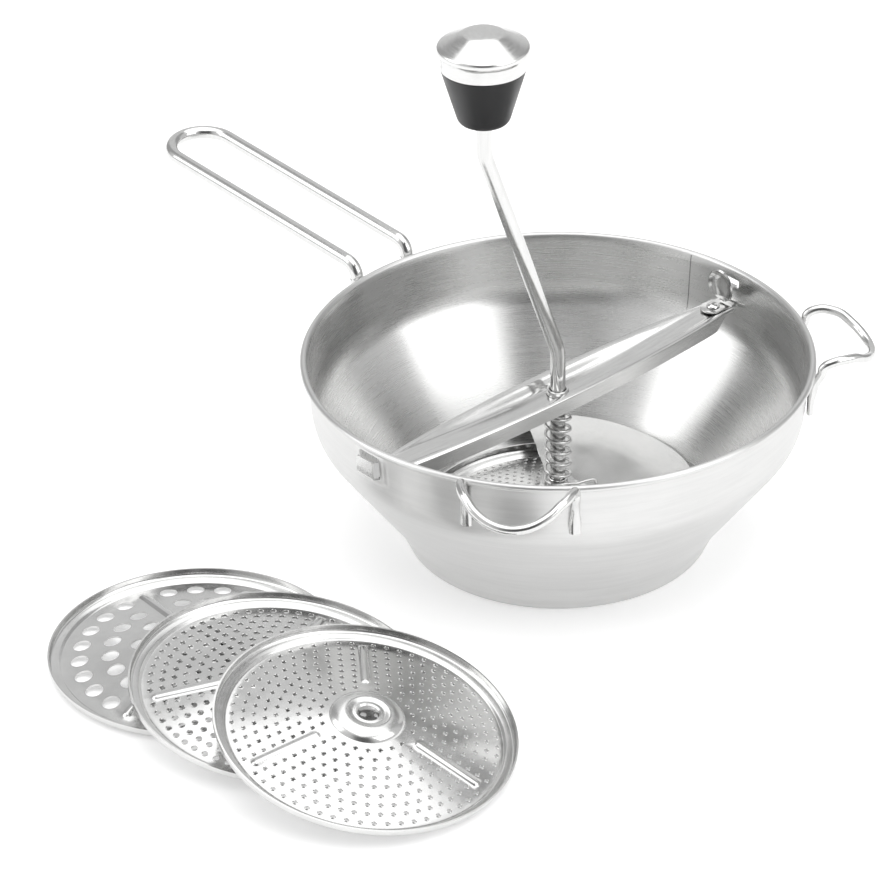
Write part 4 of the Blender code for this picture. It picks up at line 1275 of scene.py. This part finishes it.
def add_lips(obj, centres, radius, width, finish):
    mesh = bpy.data.meshes.new("lips")
    places = [Vector((c.x, c.y, plate_height(c.length) + DISC_SHEET / 2)) * MM for c in centres]
    mesh.from_pydata(places, [], [])
    lips = put_in_scene("lips", mesh)
    apply_tree(lips, lip_tree, {
        "Hole Radius": (radius + width * 0.5) * MM, "Lip Width": width * MM, "Finish": finish,
    })
    join_mesh(obj, lips.data)
    bpy.data.objects.remove(lips, do_unlink=True)


print("discs can be built")

# %% [markdown]
# The spare discs lean on each other in a fan. Where each one lies is read from its solid node:
# the middle of its points, and the direction in which they are thinnest.

# %% Place the discs
def seat_of(node):
    """The matrix that carries a disc built flat at the origin to where its node lies."""
    points = np.array([v.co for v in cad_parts[node].data.vertices])
    middle = points.mean(axis=0)
    axes = np.linalg.eigh((points - middle).T @ (points - middle))[1]
    normal = axes[:, 0] * (1.0 if axes[2, 0] > 0.0 else -1.0)
    side = np.cross([0.0, 1.0, 0.0], normal)
    side /= np.linalg.norm(side)
    depth = np.cross(normal, side)
    local = (points - middle) @ np.stack([side, depth, normal], axis=1)
    low, high = local.min(axis=0), local.max(axis=0)
    centre = middle + side * (low[0] + high[0]) / 2 + depth * (low[1] + high[1]) / 2 + normal * low[2]
    return Matrix((
        (side[0], depth[0], normal[0], centre[0]),
        (side[1], depth[1], normal[1], centre[1]),
        (side[2], depth[2], normal[2], centre[2]),
        (0.0, 0.0, 0.0, 1.0),
    ))


def even_rows(inner, outer, count, spacing):
    """Rows at equal steps with holes about one spacing apart along each."""
    rows = []
    for radius in np.linspace(inner, outer, count):
        length = SECTOR * radius - 2.0 * (RIB_HALF + 2.0)
        rows.append((radius, max(2, round(length / spacing) + 1)))
    return rows


disc_plans = [
    ("coarse", "coarse_disc_body", [(25.5, 3), (39.0, 6), (53.0, 8)], 4.1, 24, 0.0, 46.5, 4.6),
    ("medium", "medium_disc_body", even_rows(20.5, 57.3, 8, 6.0), 1.45, 14, 0.12, -0.5, 1.2),
    ("fine", "fine_disc_body", even_rows(20.5, 58.4, 9, 5.9), 1.05, 12, 0.16, 19.6, 1.4),
    ("fitted", "mill_bowl", even_rows(20.5, 58.5, 10, 4.3), 0.85, 10, 0.12, 10.0, 1.2),
]
for kind, body, rows, radius, sides, lips, heading, clear in disc_plans:
    disc = punched_disc("sieve_" + kind, rows, radius, sides, disc_steel, lips, clear)
    node = kind + "_disc"
    disc.data.transform(seat_of(node) @ Matrix.Rotation(math.radians(heading), 4, "Z"))
    finish_piece(disc, body, node, 35.0)

# %% [markdown]
# ## Floor, light and camera
# Polished steel needs something to reflect. The world is a pale dome with a few soft darker
# bands, as the gaps between studio lights would be, and two large soft lights give the broad
# highlights. The floor is plain and pale.

# %% Floor
FLOOR_HALF = 6.0
FLOOR_LEVEL = -0.0003
floor_mesh = bpy.data.meshes.new("floor")
corner_signs = ((-1, -1), (1, -1), (1, 1), (-1, 1))
floor_corners = [(x * FLOOR_HALF, y * FLOOR_HALF, FLOOR_LEVEL) for x, y in corner_signs]
floor_mesh.from_pydata(floor_corners, [], [(0, 1, 2, 3)])
floor = put_in_scene("floor", floor_mesh)
floor_paint, _, floor_shader = new_material("pale_floor")
floor_shader.inputs["Base Color"].default_value = (0.9, 0.9, 0.9, 1.0)
floor_shader.inputs["Roughness"].default_value = 0.85
floor_shader.inputs["Emission Color"].default_value = (1.0, 1.0, 1.0, 1.0)
floor_shader.inputs["Emission Strength"].default_value = 0.3
floor_mesh.materials.append(floor_paint)

# %% World
STUDIO_LEVEL = 0.74
world = bpy.data.worlds.new("studio")
bpy.context.scene.world = world
world.use_nodes = True
sky = world.node_tree
background = sky.nodes["Background"]
background.inputs["Color"].default_value = (1.0, 1.0, 1.0, 1.0)
direction = add_node(sky, "ShaderNodeTexCoord", "direction")
split = add_node(sky, "ShaderNodeSeparateXYZ", "split direction")
sky.links.new(direction.outputs["Generated"], split.inputs[0])
heading = math_node(sky, "ARCTAN2", "heading", split.outputs["Y"], split.outputs["X"])


def dark_band(heading_deg, half_deg, depth, label):
    """One minus a soft dip in brightness around a heading."""
    away = math_node(sky, "SUBTRACT", label, heading, math.radians(heading_deg))
    half_turn = math_node(sky, "MULTIPLY", label, away, 0.5)
    wrapped = math_node(sky, "ABSOLUTE", label, math_node(sky, "SINE", label, half_turn))
    edge = math.sin(math.radians(half_deg) / 2.0)
    return ranged(sky, label, wrapped, edge * 0.35, edge, 1.0 - depth, 1.0)


bands = [dark_band(*plan) for plan in (
    (-44.0, 40.0, 0.82, "unlit room behind the camera"),
    (92.0, 26.0, 0.4, "gap on the right"),
    (182.0, 28.0, 0.4, "gap on the left"),
)]
product = bands[0]
for band in bands[1:]:
    product = math_node(sky, "MULTIPLY", "all gaps", product, band)
overhead = ranged(sky, "overhead", split.outputs["Z"], 0.66, 0.9, 0.0, 1.0)
brightness = math_node(sky, "MAXIMUM", "overhead stays light", product, overhead)
strength = math_node(sky, "MULTIPLY", "studio level", brightness, STUDIO_LEVEL)
sky.links.new(strength, background.inputs["Strength"])
print("studio bands:", len(bands))

# %% Lights
def soft_light(name, place, target, size, power):
    lamp = bpy.data.lights.new(name, "AREA")
    lamp.shape = "RECTANGLE"
    lamp.size, lamp.size_y = size
    lamp.energy = power
    obj = put_in_scene(name, lamp)
    obj.location = place
    obj.rotation_euler = (Vector(target) - Vector(place)).to_track_quat("-Z", "Y").to_euler()


soft_light("key_softbox", (-0.95, -1.25, 1.05), (0.05, 0.0, 0.05), (1.2, 1.2), 7.5)
soft_light("right_softbox", (1.5, 0.5, 1.05), (0.05, 0.0, 0.05), (1.4, 1.2), 9.0)
soft_light("top_softbox", (0.0, 0.1, 1.9), (0.0, 0.0, 0.0), (2.4, 2.4), 20.0)
bpy.context.scene.view_settings.view_transform = "Standard"

# %% [markdown]
# The camera has a long lens and looks down on the mill from the side of its rests. Its place is
# measured from the mill's axis, and its turn is given as plain angles.

# %% Camera
CAMERA_FROM_AXIS = (1281.07, -1224.22, 1112.45)
CAMERA_TURN = (59.0663, 0.7927, 47.6225)
camera_data = bpy.data.cameras.new("view_camera")
camera_data.lens = 180.0
camera_data.sensor_width = 36.0
camera_data.clip_end = 20.0
camera = put_in_scene("view_camera", camera_data)
camera.location = at(*CAMERA_FROM_AXIS)
camera.rotation_euler = [math.radians(angle) for angle in CAMERA_TURN]
bpy.context.scene.camera = camera
print("camera at", tuple(round(v, 3) for v in camera.location))
